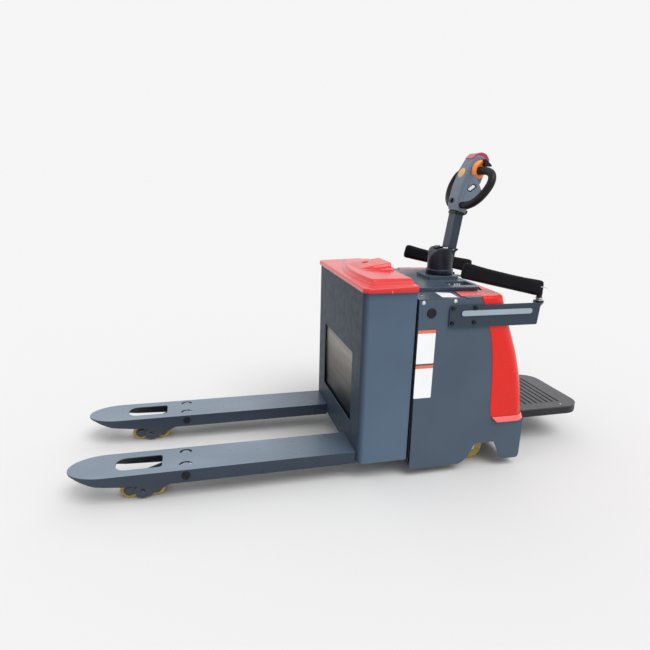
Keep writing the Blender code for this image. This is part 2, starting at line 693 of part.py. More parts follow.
def next_front(edge, height):
    """Where the red cover's front edge stands at a height."""
    for (x0, z0), (x1, z1) in zip(edge, edge[1:]):
        if z0 <= height <= z1:
            return x0 + (x1 - x0) * (height - z0) / (z1 - z0)
    return edge[-1][0]


def cover_ring(front, rear, corner, half, z):
    """A U of points, from the left front edge round the rounded rear corners to the right."""
    steps = 6
    ring = [(front, -half, z), ((front + rear - corner) / 2, -half, z)]
    for step in range(steps + 1):
        angle = pi / 2 * step / steps
        ring.append((rear - corner + corner * sin(angle), -half + corner - corner * cos(angle), z))
    ring.append((rear + 0.003, 0, z))
    for x, y, _ in reversed(ring[:-1]):
        ring.append((x, -y, z))
    return ring


def make_deck():
    """The sheet deck between the side panels, open for the column and the instrument tray."""
    width = INNER_Y - GAP
    half = [(BODY_X, width), (0.470, width), (0.470, 0.255), (0.600, 0.246), (0.626, 0.170)]
    outline = [(x, -y) for x, y in half] + half[::-1]
    made = plate("top_deck", outline, "XY", DECK_TOP - 0.008, DECK_TOP, BODY_PAINT)
    column = rod("top_deck_column_hole", (STEER_X, 0, 0.7), (STEER_X, 0, 0.9), 0.034)
    tray = box("top_deck_tray_hole", (0.486, -0.193, 0.7), (0.606, -0.098, 0.9))
    return cut(made, column, tray)


def make_console():
    """The raised console with its sunk instrument tray and the tiller's square flange."""
    made = plate("console_cover", rounded([
        (BODY_X + 0.004, -0.215, 0.010), (0.592, -0.240, 0.016), (0.622, -0.165, 0.020),
        (0.622, 0.165, 0.020), (0.592, 0.240, 0.016), (BODY_X + 0.004, 0.262, 0.010)]),
        "XY", DECK_TOP + GAP, CONSOLE_TOP, BODY_PAINT)
    tub = box("console_tub", (0.4865, -0.1925, 0.770), (0.6055, -0.0985, CONSOLE_TOP - 0.002))
    recess = box("console_recess", (0.490, -0.189, 0.774), (0.602, -0.102, 0.900))
    flange = plate("console_flange", rounded([
        (STEER_X - 0.086, -0.073, 0.012), (STEER_X + 0.066, -0.073, 0.012), (STEER_X + 0.066, 0.073, 0.012),
        (STEER_X - 0.086, 0.073, 0.012)], 3), "XY", CONSOLE_TOP - 0.004, FLANGE_TOP)
    column = rod("console_column_hole", (STEER_X, 0, 0.7), (STEER_X, 0, 0.9), 0.034)
    key_bore = rod("console_key_bore", (0.514, -0.145, 0.75), (0.514, -0.145, 0.80), 0.0102,
                   segments=SMALL_ROUND)
    stop_bore = rod("console_stop_bore", (0.578, -0.145, 0.75), (0.578, -0.145, 0.80), 0.0102,
                    segments=SMALL_ROUND)
    return cut(join(made, tub, flange), recess, column, key_bore, stop_bore)


def make_key():
    """The key switch's barrel with its key bow."""
    barrel = rod("key_switch", (0.514, -0.145, 0.760), (0.514, -0.145, 0.779), 0.0098, STEEL, SMALL_ROUND)
    bow = box("key_bow", (0.505, -0.1463, 0.776), (0.523, -0.1437, 0.797))
    return join(barrel, bow)


def make_stop():
    """The red mushroom of the emergency stop."""
    stem = rod("emergency_stop", (0.578, -0.145, 0.758), (0.578, -0.145, 0.786), 0.0098, RED_COVER,
               SMALL_ROUND)
    cap = rod("emergency_stop_cap", (0.578, -0.145, 0.7815), (0.578, -0.145, 0.796), 0.0190, segments=24,
              end_radius=0.0165)
    return join(stem, cap)


def stud_places():
    """The four bolts that hold a guard bracket, as (x, z)."""
    return [(x, z) for x in (0.402, 0.501) for z in (0.758, 0.696)]


def make_guard_bracket(side, sign):
    """The pressed side bar with its rib, and the tab and pin on which the guard turns."""
    name = "guard_bracket_" + side
    near, far = SIDE_Y + 2 * GAP, SIDE_Y + BRACKET_FACE
    made = plate(name, rounded([
        (0.390, 0.6745, 0.010), (0.800, 0.6745, 0.006), (BRACKET_END, 0.768, 0.004),
        (0.390, 0.768, 0.010)], 3),
        "XZ", *sorted((sign * near, sign * far)), BODY_PAINT)
    rib = plate(name + "_rib", rounded([
        (0.438, 0.7240, 0.0115), (0.770, 0.7240, 0.0115), (0.770, 0.7480, 0.0115),
        (0.438, 0.7480, 0.0115)], 3),
        "XZ", *sorted((sign * (far - 0.003), sign * (far + 0.004))))
    tab = plate(name + "_tab", rounded([
        (BRACKET_END - 0.030, sign * (far - 0.001), 0.0), (BRACKET_END - 0.002, sign * (far - 0.001), 0.0),
        (GUARD_X + 0.014, sign * (GUARD_Y + TAB_HALF),
         0.006), (GUARD_X + 0.014, sign * (GUARD_Y - TAB_HALF), 0.008),
        (GUARD_X - 0.016, sign * (GUARD_Y - TAB_HALF), 0.008)], 3), "XY", TAB_TOP - 0.006, TAB_TOP)
    pin = rod(name + "_pin", (GUARD_X, sign * GUARD_Y, TAB_TOP - 0.018),
              (GUARD_X, sign * GUARD_Y, GUARD_Z + 0.026), 0.0060, segments=16)
    nut = rod(name + "_nut", (GUARD_X, sign * GUARD_Y, TAB_TOP - 0.016),
              (GUARD_X, sign * GUARD_Y, TAB_TOP - 0.005), 0.0110, segments=6)
    holes = [rod(f"{name}_hole_{n}", (x, sign * 0.36, z), (x, sign * 0.40, z), 0.0066, segments=12)
             for n, (x, z) in enumerate(stud_places())]
    return cut(join(made, rib, tab, pin, nut), *holes)


def make_studs(side, sign):
    """A backing strip inside the panel with the bracket's four bolts through it."""
    name = "bracket_bolts_" + side
    face = SIDE_Y + BRACKET_FACE
    inner, outer = sorted((sign * (INNER_Y - 0.009), sign * (INNER_Y - GAP)))
    made = box(name, (0.385, inner, 0.680), (0.518, outer, 0.774), STEEL)
    bolts = []
    for n, (x, z) in enumerate(stud_places()):
        bolts.append(rod(f"{name}_shank_{n}", (x, sign * (INNER_Y - 0.005), z), (x, sign * (face + 0.004), z),
                         0.0060, segments=8))
        bolts.append(rod(f"{name}_head_{n}", (x, sign * (face + GAP), z), (x, sign * (face + 0.0075), z),
                         0.0085, segments=10))
    return join(made, *bolts)


def make_hydraulics():
    """Pump motor standing on the oil tank, beside the lift cylinder."""
    tank = box("hydraulic_unit", (0.300, -0.285, SHELF_Z + 0.008 + GAP), (0.400, -0.110, 0.420), CAST_IRON)
    motor = rod("hydraulic_motor", (0.350, -0.215, 0.410), (0.350, -0.215, 0.570), 0.047)
    valve = box("hydraulic_valve", (0.325, -0.155, 0.410), (0.385, -0.115, 0.460))
    return join(tank, motor, valve)


def make_cylinder():
    """The lift cylinder, bored for its ram."""
    made = rod("lift_cylinder", (0.305, 0, SHELF_Z + 0.008 + GAP), (0.305, 0, 0.600), 0.0280, CAST_IRON)
    bore = rod("lift_cylinder_bore", (0.305, 0, 0.330), (0.305, 0, 0.650), 0.0184)
    return cut(made, bore)


def make_controller():
    """The finned motor controller on the bulkhead's right side."""
    made = box("motor_controller", (0.300, 0.090, SHELF_Z + 0.008 + GAP), (0.400, 0.285, 0.345), CAST_IRON)
    fins = [box(f"controller_fin_{n}", (0.304, 0.095 + 0.0225 * n, 0.340), (0.396, 0.100 + 0.0225 * n, 0.375))
            for n in range(9)]
    return join(made, *fins)


# ---------------------------------------------------------------- drive and steering

def make_motor():
    """The upright traction motor with its brake on top."""
    made = rod("drive_motor", (STEER_X, 0, 0.2925), (STEER_X, 0, 0.455), 0.070, CAST_IRON)
    brake = rod("drive_brake", (STEER_X, 0, 0.450), (STEER_X, 0, 0.500), 0.052)
    return join(made, brake)


def make_gearbox():
    """The gear case beside the wheel, under the turntable that it hangs from."""
    turntable = rod("drive_gearbox", (STEER_X, 0, 0.268), (STEER_X, 0, 0.2852), 0.112, CAST_IRON)
    neck = rod("drive_gearbox_neck", (STEER_X, 0, 0.280), (STEER_X, 0, 0.2922), 0.080)
    outline = link_outline(((STEER_X, 0.215), (STEER_X, DRIVE_WHEEL_RADIUS)), (0.055, 0.050))
    case = plate("drive_gearbox_case", outline, "XZ", 0.044, 0.092)
    leg = box("drive_gearbox_leg", (STEER_X - 0.055, 0.044, 0.200), (STEER_X + 0.055, 0.092, 0.272))
    axle = rod("drive_gearbox_axle", (STEER_X, -0.030, DRIVE_WHEEL_RADIUS),
               (STEER_X, 0.050, DRIVE_WHEEL_RADIUS),
               0.0150, segments=SMALL_ROUND)
    return join(turntable, neck, case, leg, axle)


def make_drive_wheel():
    return turned("drive_wheel", wheel_profile(DRIVE_WHEEL_RADIUS, 0.0375, 0.0153, 0.006),
                  (STEER_X, 0, DRIVE_WHEEL_RADIUS), POLYURETHANE, 28)


def make_column():
    """The steering column from the drive up through the deck."""
    return rod("steering_column", (STEER_X, 0, 0.500 + GAP), (STEER_X, 0, FLANGE_TOP - 0.001), 0.026, STEEL)


def make_boot():
    """The tiller's hood: a round body rounded off over the front, open above and behind for the tube."""
    foot, plinth = FLANGE_TOP + GAP, FLANGE_TOP + 0.026
    front, rear = STEER_X - BOOT_RADIUS, STEER_X + BOOT_RADIUS
    made = rod("tiller_boot", (STEER_X, 0, foot), (STEER_X, 0, plinth), BOOT_RADIUS + 0.0045, BLACK_PLASTIC)
    body = rod("tiller_boot_body", (STEER_X, 0, plinth - 0.006), (STEER_X, 0, BOOT_TOP + 0.020), BOOT_RADIUS,
               segments=32)
    arc = 7
    crown_length, crown_height = 0.040, 0.060
    profile = [(front - 0.002, foot)]
    for step in range(arc + 1):
        angle = pi / 2 * step / arc
        profile.append((front - 0.0005 + crown_length * (1 - cos(angle)),
                        BOOT_TOP - crown_height * (1 - sin(angle))))
    profile += [(rear - 0.022, BOOT_TOP), (rear + 0.004, BOOT_TOP - 0.030), (rear + 0.004, foot)]
    crown = plate("tiller_boot_crown", profile, "XZ", -0.070, 0.070)
    lip = plate("tiller_boot_lip", rounded([
        (STEER_X, BOOT_TOP - 0.012, 0), (rear + 0.006, BOOT_TOP - 0.008, 0.003),
        (rear + 0.006, BOOT_TOP, 0.003), (STEER_X, BOOT_TOP, 0)], 2), "XZ", -0.044, 0.044)
    hollow = plate("tiller_boot_hollow", [
        (front + 0.010, foot + 0.012), (front + 0.010, BOOT_TOP - 0.070), (front + 0.018, BOOT_TOP - 0.035),
        (front + 0.034, BOOT_TOP - 0.012), (front + 0.036, BOOT_TOP + 0.03), (rear + 0.04, BOOT_TOP + 0.03),
        (rear + 0.04, plinth + 0.001), (rear - 0.012, foot + 0.012)], "XZ", -BOOT_HOLLOW, BOOT_HOLLOW)
    boolean(body, [crown], "INTERSECT")
    return cut(join(made, body, lip), hollow)


# ---------------------------------------------------------------- tiller

def make_tiller_tube():
    made = box("tiller_tube", (-TUBE_DEPTH / 2, -TUBE_WIDTH / 2, -0.018),
               (TUBE_DEPTH / 2, TUBE_WIDTH / 2, TUBE_LENGTH),
               BODY_PAINT, TILLER_AXES)
    wall = 0.004
    inside = box("tiller_tube_inside", (-TUBE_DEPTH / 2 + wall, -TUBE_WIDTH / 2 + wall, -0.05),
                 (TUBE_DEPTH / 2 - wall, TUBE_WIDTH / 2 - wall, TUBE_LENGTH + 0.05), axes=TILLER_AXES)
    bore = rod("tiller_tube_bore", (0, -0.05, 0), (0, 0.05, 0), 0.0103, segments=SMALL_ROUND,
               axes=TILLER_AXES)
    return cut(made, inside, bore)


def make_tiller_pin():
    half = BOOT_HOLLOW - GAP
    return rod("tiller_pin", (0, -half, 0), (0, half, 0), 0.0100, STEEL, SMALL_ROUND, TILLER_AXES)


def grip_path(sign):
    return [HEAD_AXES @ Vector((back, sign * across, up)) for back, across, up in smooth_path(GRIP_LINE, 2)]


def lengthened(path, extra):
    """The same path with both its ends moved out along themselves."""
    first = path[0] + (path[0] - path[1]).normalized() * extra
    last = path[-1] + (path[-1] - path[-2]).normalized() * extra
    return [first, *path[1:-1], last]


def make_grip(side, sign):
    return tube("grip_" + side, grip_path(sign), GRIP_RADIUS, RUBBER)


def make_head():
    """The handle's housing with a web to each grip, bored for the throttle and pocketed for buttons."""
    profile = rounded([
        (-0.030, -0.014, 0.006), (-0.044, 0.050, 0.020), (-0.044, 0.256, 0.016), (0.016, 0.256, 0.020),
        (0.038, 0.232, 0.020), (0.040, 0.150, 0.030), (0.027, 0.080, 0.020), (0.029, -0.014, 0.006)], 4)
    made = plate("tiller_head", profile, "XZ", -HEAD_HALF, HEAD_HALF, GREY_PLASTIC, HEAD_AXES)
    tools = []
    cutters = []
    for side, sign in SIDES:
        web = [(0.030, 0.030), (0.085, 0.045), (0.128, 0.092), (0.122, 0.108), (0.040, 0.165)]
        outline = [(sign * across, up) for across, up in web][::sign]
        tools.append(plate("head_web_" + side, outline, "YZ", 0.006, 0.020, axes=HEAD_AXES))
        cutters.append(tube("head_grip_socket_" + side, lengthened(grip_path(sign), GAP), GRIP_RADIUS + GAP))
        slot = rounded([(0.058, 0.090, 0.006), (0.072, 0.090, 0.006), (0.072, 0.122, 0.006),
                        (0.058, 0.122, 0.006)], 2)
        outline = [(sign * across, up) for across, up in slot][::sign]
        cutters.append(plate("head_web_slot_" + side, outline, "YZ", -0.02, 0.04, axes=HEAD_AXES))
    cutters.append(box("head_tube_socket", (-TUBE_DEPTH / 2 - GAP, -TUBE_WIDTH / 2 - GAP, -0.05),
                       (TUBE_DEPTH / 2 + GAP, TUBE_WIDTH / 2 + GAP, TUBE_LENGTH + GAP), axes=TILLER_AXES))
    cutters.append(rod("head_throttle_bore", (THROTTLE_BACK, -0.06, THROTTLE_UP),
                       (THROTTLE_BACK, 0.06, THROTTLE_UP), 0.0064, segments=16, axes=HEAD_AXES))
    cutters.append(box("head_belly_pocket", (-0.0303, -0.0353, 0.246), (0.0123, 0.0353, 0.300),
                       axes=HEAD_AXES))
    cutters.append(horn_shape("head_horn_pocket", -0.060, -0.038, GAP))
    for side, sign in SIDES:
        cutters.append(rod("head_button_pocket_" + side, (0.030, sign * 0.020, BUTTON_UP),
                           (0.080, sign * 0.020, BUTTON_UP), BUTTON_RADIUS + GAP, segments=SMALL_ROUND,
                           axes=HEAD_AXES))
    return cut(join(made, *tools), *cutters)


def make_throttle():
    """The thumb paddles on one spindle through the head."""
    made = rod("throttle", (THROTTLE_BACK, -0.060, THROTTLE_UP), (THROTTLE_BACK, 0.060, THROTTLE_UP),
               0.0060, BLACK_PLASTIC, 16, HEAD_AXES)
    paddle = rounded([(-0.008, 0.243, 0.006), (0.002, 0.211, 0.006), (0.044, 0.226, 0.005)][::-1], 3)
    paddles = []
    for side, sign in SIDES:
        low, high = sorted((sign * (HEAD_HALF + 0.001), sign * 0.074))
        paddles.append(plate("throttle_paddle_" + side, paddle, "XZ", low, high, axes=HEAD_AXES))
    return join(made, *paddles)


def make_belly_button():
    """The red safety button across the end of the head."""
    return bevel(box("belly_button", (-0.030, -0.035, 0.2525), (0.012, 0.035, 0.276), RED_COVER,
                     HEAD_AXES), 0.008, 2)


def horn_shape(name, low, high, extra=0.0, finish_material=None):
    """The oval of the horn button, as a solid between two offsets back from the head's axis."""
    steps = 16
    outline = [((0.027 + extra) * cos(2 * pi * n / steps), 0.160 + (0.023 + extra) * sin(2 * pi * n / steps))
               for n in range(steps)]
    return plate(name, outline, "YZ", low, high, finish_material, HEAD_AXES)


def make_horn_button():
    return horn_shape("horn_button", -0.0475, -0.0415, 0.0, ORANGE_PLASTIC)


def make_lift_button(name, sign):
    return rod(name, (0.0335, sign * 0.020, BUTTON_UP), (0.0435, sign * 0.020, BUTTON_UP), BUTTON_RADIUS,
               ORANGE_PLASTIC, SMALL_ROUND, HEAD_AXES)


# ---------------------------------------------------------------- casters

def make_caster_fork(side, sign):
    """The swivelling fork of a stabilising caster, with its axle."""
    name = "caster_fork_" + side
    y = sign * CASTER_Y
    made = rod(name, (SWIVEL_X, y, 0.1530), (SWIVEL_X, y, 0.1697), 0.034, STEEL, 24)
    crown = box(name + "_crown", (SWIVEL_X - 0.030, y - 0.036, 0.146), (CASTER_X + 0.020, y + 0.036, 0.155))
    outline = rounded([(SWIVEL_X - 0.026, 0.150, 0.003), (CASTER_X - 0.016, 0.052, 0.012),
                       (CASTER_X + 0.016, 0.052, 0.012),
                       (CASTER_X + 0.018, 0.150, 0.003)], 3)
    legs = [plate(f"{name}_leg_{n}", outline, "XZ", *sorted((y + end * 0.030, y + end * 0.035)))
            for n, end in enumerate((-1, 1))]
    axle = rod(name + "_axle", (CASTER_X, y - 0.038, CASTER_RADIUS),
               (CASTER_X, y + 0.038, CASTER_RADIUS), 0.0060,
               segments=16)
    return join(made, crown, *legs, axle)


def make_caster_wheel(side, sign):
    return turned("caster_wheel_" + side, wheel_profile(CASTER_RADIUS, 0.025, 0.0062, 0.006),
                  (CASTER_X, sign * CASTER_Y, CASTER_RADIUS), POLYURETHANE, 24)


# ---------------------------------------------------------------- guards and platform

def guard_axes(sign):
    """Axes at a guard's hinge: X runs out along the stowed arm, Z up across it."""
    return (Matrix.Translation((GUARD_X, sign * GUARD_Y, GUARD_Z)) @ Matrix.Rotation(pi, 4, "Z")
            @ Matrix.Rotation(-GUARD_RISE, 4, "Y"))


def make_guard_arm(side, sign):
    """The guard's steel strap and its hinge sleeve."""
    name = "guard_arm_" + side
    axes = guard_axes(sign)
    x, y = GUARD_X, sign * GUARD_Y
    sleeve = rod(name, (x, y, TAB_TOP + 0.004), (x, y, GUARD_Z + 0.020), 0.0115, STEEL, SMALL_ROUND)
    strap = box(name + "_strap", (0.004, -0.003, 0.004), (GUARD_LENGTH - 0.030, 0.003, 0.030), axes=axes)
    bore = rod(name + "_bore", (x, y, 0.70), (x, y, GUARD_Z + 0.0265), 0.0064, segments=16)
    return cut(join(sleeve, strap), bore)


def make_guard_pad(side, sign):
    """The padded black sleeve over the strap."""
    name = "guard_pad_" + side
    axes = guard_axes(sign)
    half = GUARD_THICKNESS / 2
    outline = rounded([(-0.016, 0.0, 0.008), (GUARD_LENGTH, 0.0, 0.014), (GUARD_LENGTH, GUARD_HEIGHT, 0.018),
                       (0.001, GUARD_HEIGHT, 0.018)], 4)
    made = plate(name, outline, "XZ", -half, half, RUBBER, axes)
    slot = box(name + "_slot", (-0.03, -0.0034, -0.010), (GUARD_LENGTH - 0.0294, 0.0034, 0.0306), axes=axes)
    sleeve = rod(name + "_sleeve", (GUARD_X, sign * GUARD_Y, TAB_TOP),
                 (GUARD_X, sign * GUARD_Y, GUARD_Z + 0.032), 0.0120, segments=SMALL_ROUND)
    return cut(made, slot, sleeve)


def platform_outline():
    """The platform seen from above, with its two rear corners well rounded."""
    front = PLATFORM_X + 0.016
    return rounded([
        (front, -PLATFORM_HALF, 0.006), (REAR_X, -PLATFORM_HALF, 0.085), (REAR_X, PLATFORM_HALF, 0.085),
        (front, PLATFORM_HALF, 0.006)], 8)


def make_platform():
    """The folding platform: a shallow tray with sleeves round the hinge pin."""
    top = PLATFORM_TOP - MAT_THICKNESS - GAP
    made = plate("platform_plate", platform_outline(), "XY", PLATFORM_BOTTOM, top, BLACK_PLASTIC)
    side_wall = PLATFORM_HALF - 0.020
    hollow = plate("platform_hollow", rounded([
        (PLATFORM_X + 0.040, -side_wall, 0.004), (REAR_X - 0.025, -side_wall, 0.065),
        (REAR_X - 0.025, side_wall, 0.065), (PLATFORM_X + 0.040, side_wall, 0.004)], 4),
        "XY", PLATFORM_BOTTOM - 0.010, top - 0.006)
    inner, outer = 0.150, PLATFORM_HALF - 0.005
    sleeves = [rod("platform_sleeve_" + side, (PLATFORM_X, sign * inner, PLATFORM_Z),
                   (PLATFORM_X, sign * outer,
                    PLATFORM_Z), 0.0120, segments=SMALL_ROUND) for side, sign in SIDES]
    tongues = []
    for side, sign in SIDES:
        low, high = sorted((sign * inner, sign * outer))
        tongues.append(box("platform_tongue_" + side, (PLATFORM_X, low, PLATFORM_Z - 0.010),
                           (PLATFORM_X + 0.030, high, PLATFORM_Z + 0.008)))
    bore = rod("platform_bore", (PLATFORM_X, -0.30, PLATFORM_Z), (PLATFORM_X, 0.30, PLATFORM_Z),
               PIN_RADIUS + 0.0004, segments=16)
    return cut(join(made, *sleeves, *tongues), hollow, bore)


def make_mat():
    """The ribbed rubber mat on the platform."""
    made = plate("platform_mat", platform_outline(), "XY", PLATFORM_TOP - MAT_THICKNESS, PLATFORM_TOP, RUBBER)
    rib_end = PLATFORM_HALF - 0.062
    grooves = []
    for n in range(MAT_GROOVES):
        x = PLATFORM_X + 0.036 + MAT_PITCH * n
        grooves.append(box(f"platform_groove_{n}", (x, -rib_end, PLATFORM_TOP - MAT_THICKNESS / 2),
                           (x + MAT_PITCH / 2, rib_end, PLATFORM_TOP + 0.010)))
    return cut(made, *grooves)


# ---------------------------------------------------------------- assembly

def build_carriage():
    carriage = pivot("carriage_slide", (ROOT_X, 0, FORK_TOP))
    hang(carriage, make_battery_box(), make_battery(), make_lift_ram())
    hang(pivot("lid_hinge", (ROOT_X - 0.0065, 0, LID_SEAT), carriage), make_lid())
    hang(pivot("rocker_pivot", (ROCKER_X, 0, ARM_Z), carriage), make_rocker())
    for side, sign in SIDES:
        y = sign * FORK_Y
        hang(carriage, make_fork(side, sign), make_arm_axle(side, sign))
        hang(pivot("rod_slide_" + side, (ROCKER_X, y, ROD_Z), carriage), make_pull_rod(side, sign))
        arm = pivot("arm_pivot_" + side, (ARM_X, y, ARM_Z), carriage)
        hang(arm, make_load_arm(side, sign))
        bogie = pivot("bogie_pivot_" + side, (BOGIE_X, y, BOGIE_Z), arm)
        hang(bogie, make_bogie(side, sign))
        for place_name, shift in (("front", -ROLLER_OFFSET), ("rear", ROLLER_OFFSET)):
            axle = pivot(f"roller_axle_{side}_{place_name}", (BOGIE_X + shift, y, BOGIE_Z), bogie)
            hang(axle, make_roller(side, sign, place_name, shift))


def build_chassis():
    make_frame()
    make_rear_skirt()
    make_rear_cover()
    make_deck()
    make_console()
    make_hydraulics()
    make_cylinder()
    make_controller()
    hang(pivot("key_pivot", (0.514, -0.145, 0.779)), make_key())
    hang(pivot("stop_slide", (0.578, -0.145, 0.796)), make_stop())
    for side, sign in SIDES:
        make_side_panel(side, sign)
        make_guard_bracket(side, sign)
        make_studs(side, sign)
        guard = pivot("guard_pivot_" + side, (GUARD_X, sign * GUARD_Y, GUARD_Z))
        hang(guard, make_guard_arm(side, sign), make_guard_pad(side, sign))
        swivel = pivot("caster_swivel_" + side, (SWIVEL_X, sign * CASTER_Y, 0.170))
        hang(swivel, make_caster_fork(side, sign))
        axle = pivot("caster_axle_" + side, (CASTER_X, sign * CASTER_Y, CASTER_RADIUS), swivel)
        hang(axle, make_caster_wheel(side, sign))
    platform = pivot("platform_hinge", (PLATFORM_X, 0, PLATFORM_Z))
    hang(platform, make_platform(), make_mat())


def build_drive():
    steering = pivot("steering_pivot", (STEER_X, 0, FLANGE_TOP))
    hang(steering, make_motor(), make_gearbox(), make_column(), make_boot())
    hang(pivot("drive_axle", (STEER_X, 0, DRIVE_WHEEL_RADIUS), steering), make_drive_wheel())
    tiller = pivot("tiller_pivot", TILLER_PIVOT, steering)
    hang(tiller, make_tiller_tube(), make_tiller_pin(), make_head())
    for side, sign in SIDES:
        hang(tiller, make_grip(side, sign))
    spindle = HEAD_AXES @ Vector((THROTTLE_BACK, 0, THROTTLE_UP))
    hang(pivot("throttle_pivot", spindle, tiller), make_throttle())
    hang(pivot("belly_slide", HEAD_AXES @ Vector((-0.009, 0, 0.276)), tiller), make_belly_button())
    hang(pivot("horn_slide", HEAD_AXES @ Vector((-0.0475, 0, 0.160)), tiller), make_horn_button())
    for name, sign in (("lift_button", -1), ("lower_button", 1)):
        slide = pivot(name + "_slide", HEAD_AXES @ Vector((0.0435, sign * 0.020, BUTTON_UP)), tiller)
        hang(slide, make_lift_button(name, sign))


def move_to_origin():
    """Bring the middle of the truck's length to the origin, with everything that hangs on it."""
    for made in bpy.data.objects:
        if made.parent is None:
            made.location.x -= MIDDLE_X


build_carriage()
build_chassis()
build_drive()
move_to_origin()
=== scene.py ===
"""Looks for the electric pallet truck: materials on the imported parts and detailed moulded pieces.

Metres, +Z up. The forks point along -X, the operator stands at +X, and the left side is -Y.
"""
import json
from math import cos, hypot, pi, radians, sin, sqrt

import bmesh
import bpy
from mathutils import Matrix, Vector


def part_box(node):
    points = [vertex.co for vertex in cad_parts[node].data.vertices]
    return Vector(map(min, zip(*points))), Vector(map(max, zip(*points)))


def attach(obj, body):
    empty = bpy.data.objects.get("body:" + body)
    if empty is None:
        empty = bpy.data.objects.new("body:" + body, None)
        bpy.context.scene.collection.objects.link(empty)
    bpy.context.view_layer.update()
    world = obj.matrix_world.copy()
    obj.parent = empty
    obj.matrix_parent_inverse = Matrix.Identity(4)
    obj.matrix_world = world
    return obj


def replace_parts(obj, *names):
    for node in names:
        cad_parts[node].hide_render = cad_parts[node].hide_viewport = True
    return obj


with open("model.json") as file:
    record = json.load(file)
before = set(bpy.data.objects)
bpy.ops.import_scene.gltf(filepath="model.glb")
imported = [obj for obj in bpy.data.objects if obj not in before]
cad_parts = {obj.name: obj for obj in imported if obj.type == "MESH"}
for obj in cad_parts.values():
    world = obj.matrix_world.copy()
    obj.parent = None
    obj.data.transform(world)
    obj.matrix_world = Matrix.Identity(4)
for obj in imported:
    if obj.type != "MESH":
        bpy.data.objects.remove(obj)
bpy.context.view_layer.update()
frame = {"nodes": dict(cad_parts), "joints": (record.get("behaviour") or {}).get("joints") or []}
NODES = frame["nodes"]
JOINTS = {joint["name"]: joint for joint in frame["joints"]}
SIDES = (("left", -1), ("right", 1))

# Shapes are drawn from a datum 30 mm ahead of the forks' roots, on the floor.
DATUM = Vector((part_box("battery_box")[0].x - 0.03, 0, 0))


def drawn_box(node):
    """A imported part's box, measured from the datum."""
    low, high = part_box(node)
    return low - DATUM, high - DATUM


def joint_place(name):
    """A joint's place, measured from the datum."""
    return Vector(JOINTS[name]["pos_m"]) - DATUM


PANEL_LOW, PANEL_HIGH = drawn_box("side_panel_left")
LID_LOW, LID_HIGH = drawn_box("battery_lid")
PLATFORM_LOW, PLATFORM_HIGH = drawn_box("platform_mat")
BOOT_LOW, BOOT_HIGH = drawn_box("tiller_boot")
SIDE_Y = -PANEL_LOW.y
DECK_TOP = PANEL_HIGH.z
FORK_FACE = max(abs(corner.y) for corner in drawn_box("fork_left"))
BRACKET_FACE = -min(vertex.co.y for vertex in NODES["guard_bracket_left"].data.vertices)
TRAY_FLOOR = 0.774

# The battery lid: its lip's rounding, its height at the front and its rise to the rear, the
# wall's thickness, the raised bow's level, and the middle of the finger hollow.
LIP_ROUND = 0.007
LIP_FRONT = 0.846
LIP_RISE = 0.007
LID_WALL = 0.012
BOW_LEVEL = 0.87
HOLLOW_X = 0.163
HOLLOW_Y = 0.04

# The red rear cover. Both edges are given as (height, X): the seam with the side panel, and the
# rear face. The flare is (height, how far the skin stands out) in the rolled foot.
COVER_SEAM = [(0.228, 0.666), (0.238, 0.655), (0.25, 0.642), (0.272, 0.632), (0.33, 0.627),
              (0.377, 0.625), (0.45, 0.62), (0.54, 0.61), (0.62, 0.596), (0.677, 0.579),
              (0.735, 0.56), (0.796, 0.534), (0.8, 0.533)]
COVER_REAR = [(0.228, 0.806), (0.272, 0.806), (0.377, 0.79), (0.45, 0.775), (0.54, 0.751),
              (0.62, 0.721), (0.677, 0.699), (0.735, 0.678), (0.8, 0.655)]
COVER_FLARE = [(0.228, 0.0), (0.2292, 0.0), (0.232, 0.0008), (0.236, 0.0016), (0.241, 0.002),
               (0.2455, 0.0016), (0.249, 0.001), (0.252, 0.0004), (0.256, 0.0)]
COVER_SHOULDER = 0.786
COVER_TOP = 0.8
COVER_SHEET = 0.0035

# The tiller's axes: its tilt pin, then the head, which leans further back.
TUBE_LENGTH = 0.2403
TILLER_LEAN = radians(7.9)
HEAD_LEAN = radians(20.0)
TILLER_AXES = Matrix.Translation(joint_place("tiller_tilt")) @ Matrix.Rotation(TILLER_LEAN, 4, "Y")
HEAD_FOOT = TILLER_AXES @ Vector((0, 0, TUBE_LENGTH))
HEAD_AXES = Matrix.Translation(HEAD_FOOT) @ Matrix.Rotation(HEAD_LEAN, 4, "Y")

# The head: half its body's width, the middle of its throttle collars, and each grip's middle
# line as (back, out to the side, up).
HEAD_HALF = 0.0385
COLLAR_BACK = 0.006
COLLAR_UP = 0.196
GRIP_RADIUS = 0.0165
GRIP_LINE = [(-0.005, 0.036, 0.187), (0.004, 0.07, 0.191), (0.01, 0.114, 0.189),
             (0.012, 0.15, 0.174), (0.012, 0.168, 0.144), (0.008, 0.164, 0.104),
             (0.003, 0.136, 0.06), (-0.003, 0.088, 0.031), (-0.008, 0.036, 0.028)]

# The hood at the tiller's foot: a round body of one radius on a wider plinth.
HOOD_X = joint_place("steering").x
HOOD_FOOT = BOOT_LOW.z
HOOD_TOP = BOOT_HIGH.z
HOOD_RADIUS = 0.0585
HOOD_FRONT = HOOD_X - HOOD_RADIUS
HOOD_REAR = HOOD_X + HOOD_RADIUS
HOOD_PLINTH = HOOD_FOOT + 0.0257

# The side guards' axes: X out along the stowed pad, Z up across it. The cloth that swells the
# pads runs for a few frames.
GUARD_RISE = radians(12.7)
GUARD_LENGTH = 0.404
GUARD_HEIGHT = 0.0755
SWELL_FRAMES = 12

# Labels are thin plates, and like every fitting they stand a hair off the paint.
LABEL_SHEET = 0.0004
CLEARANCE = 0.0002

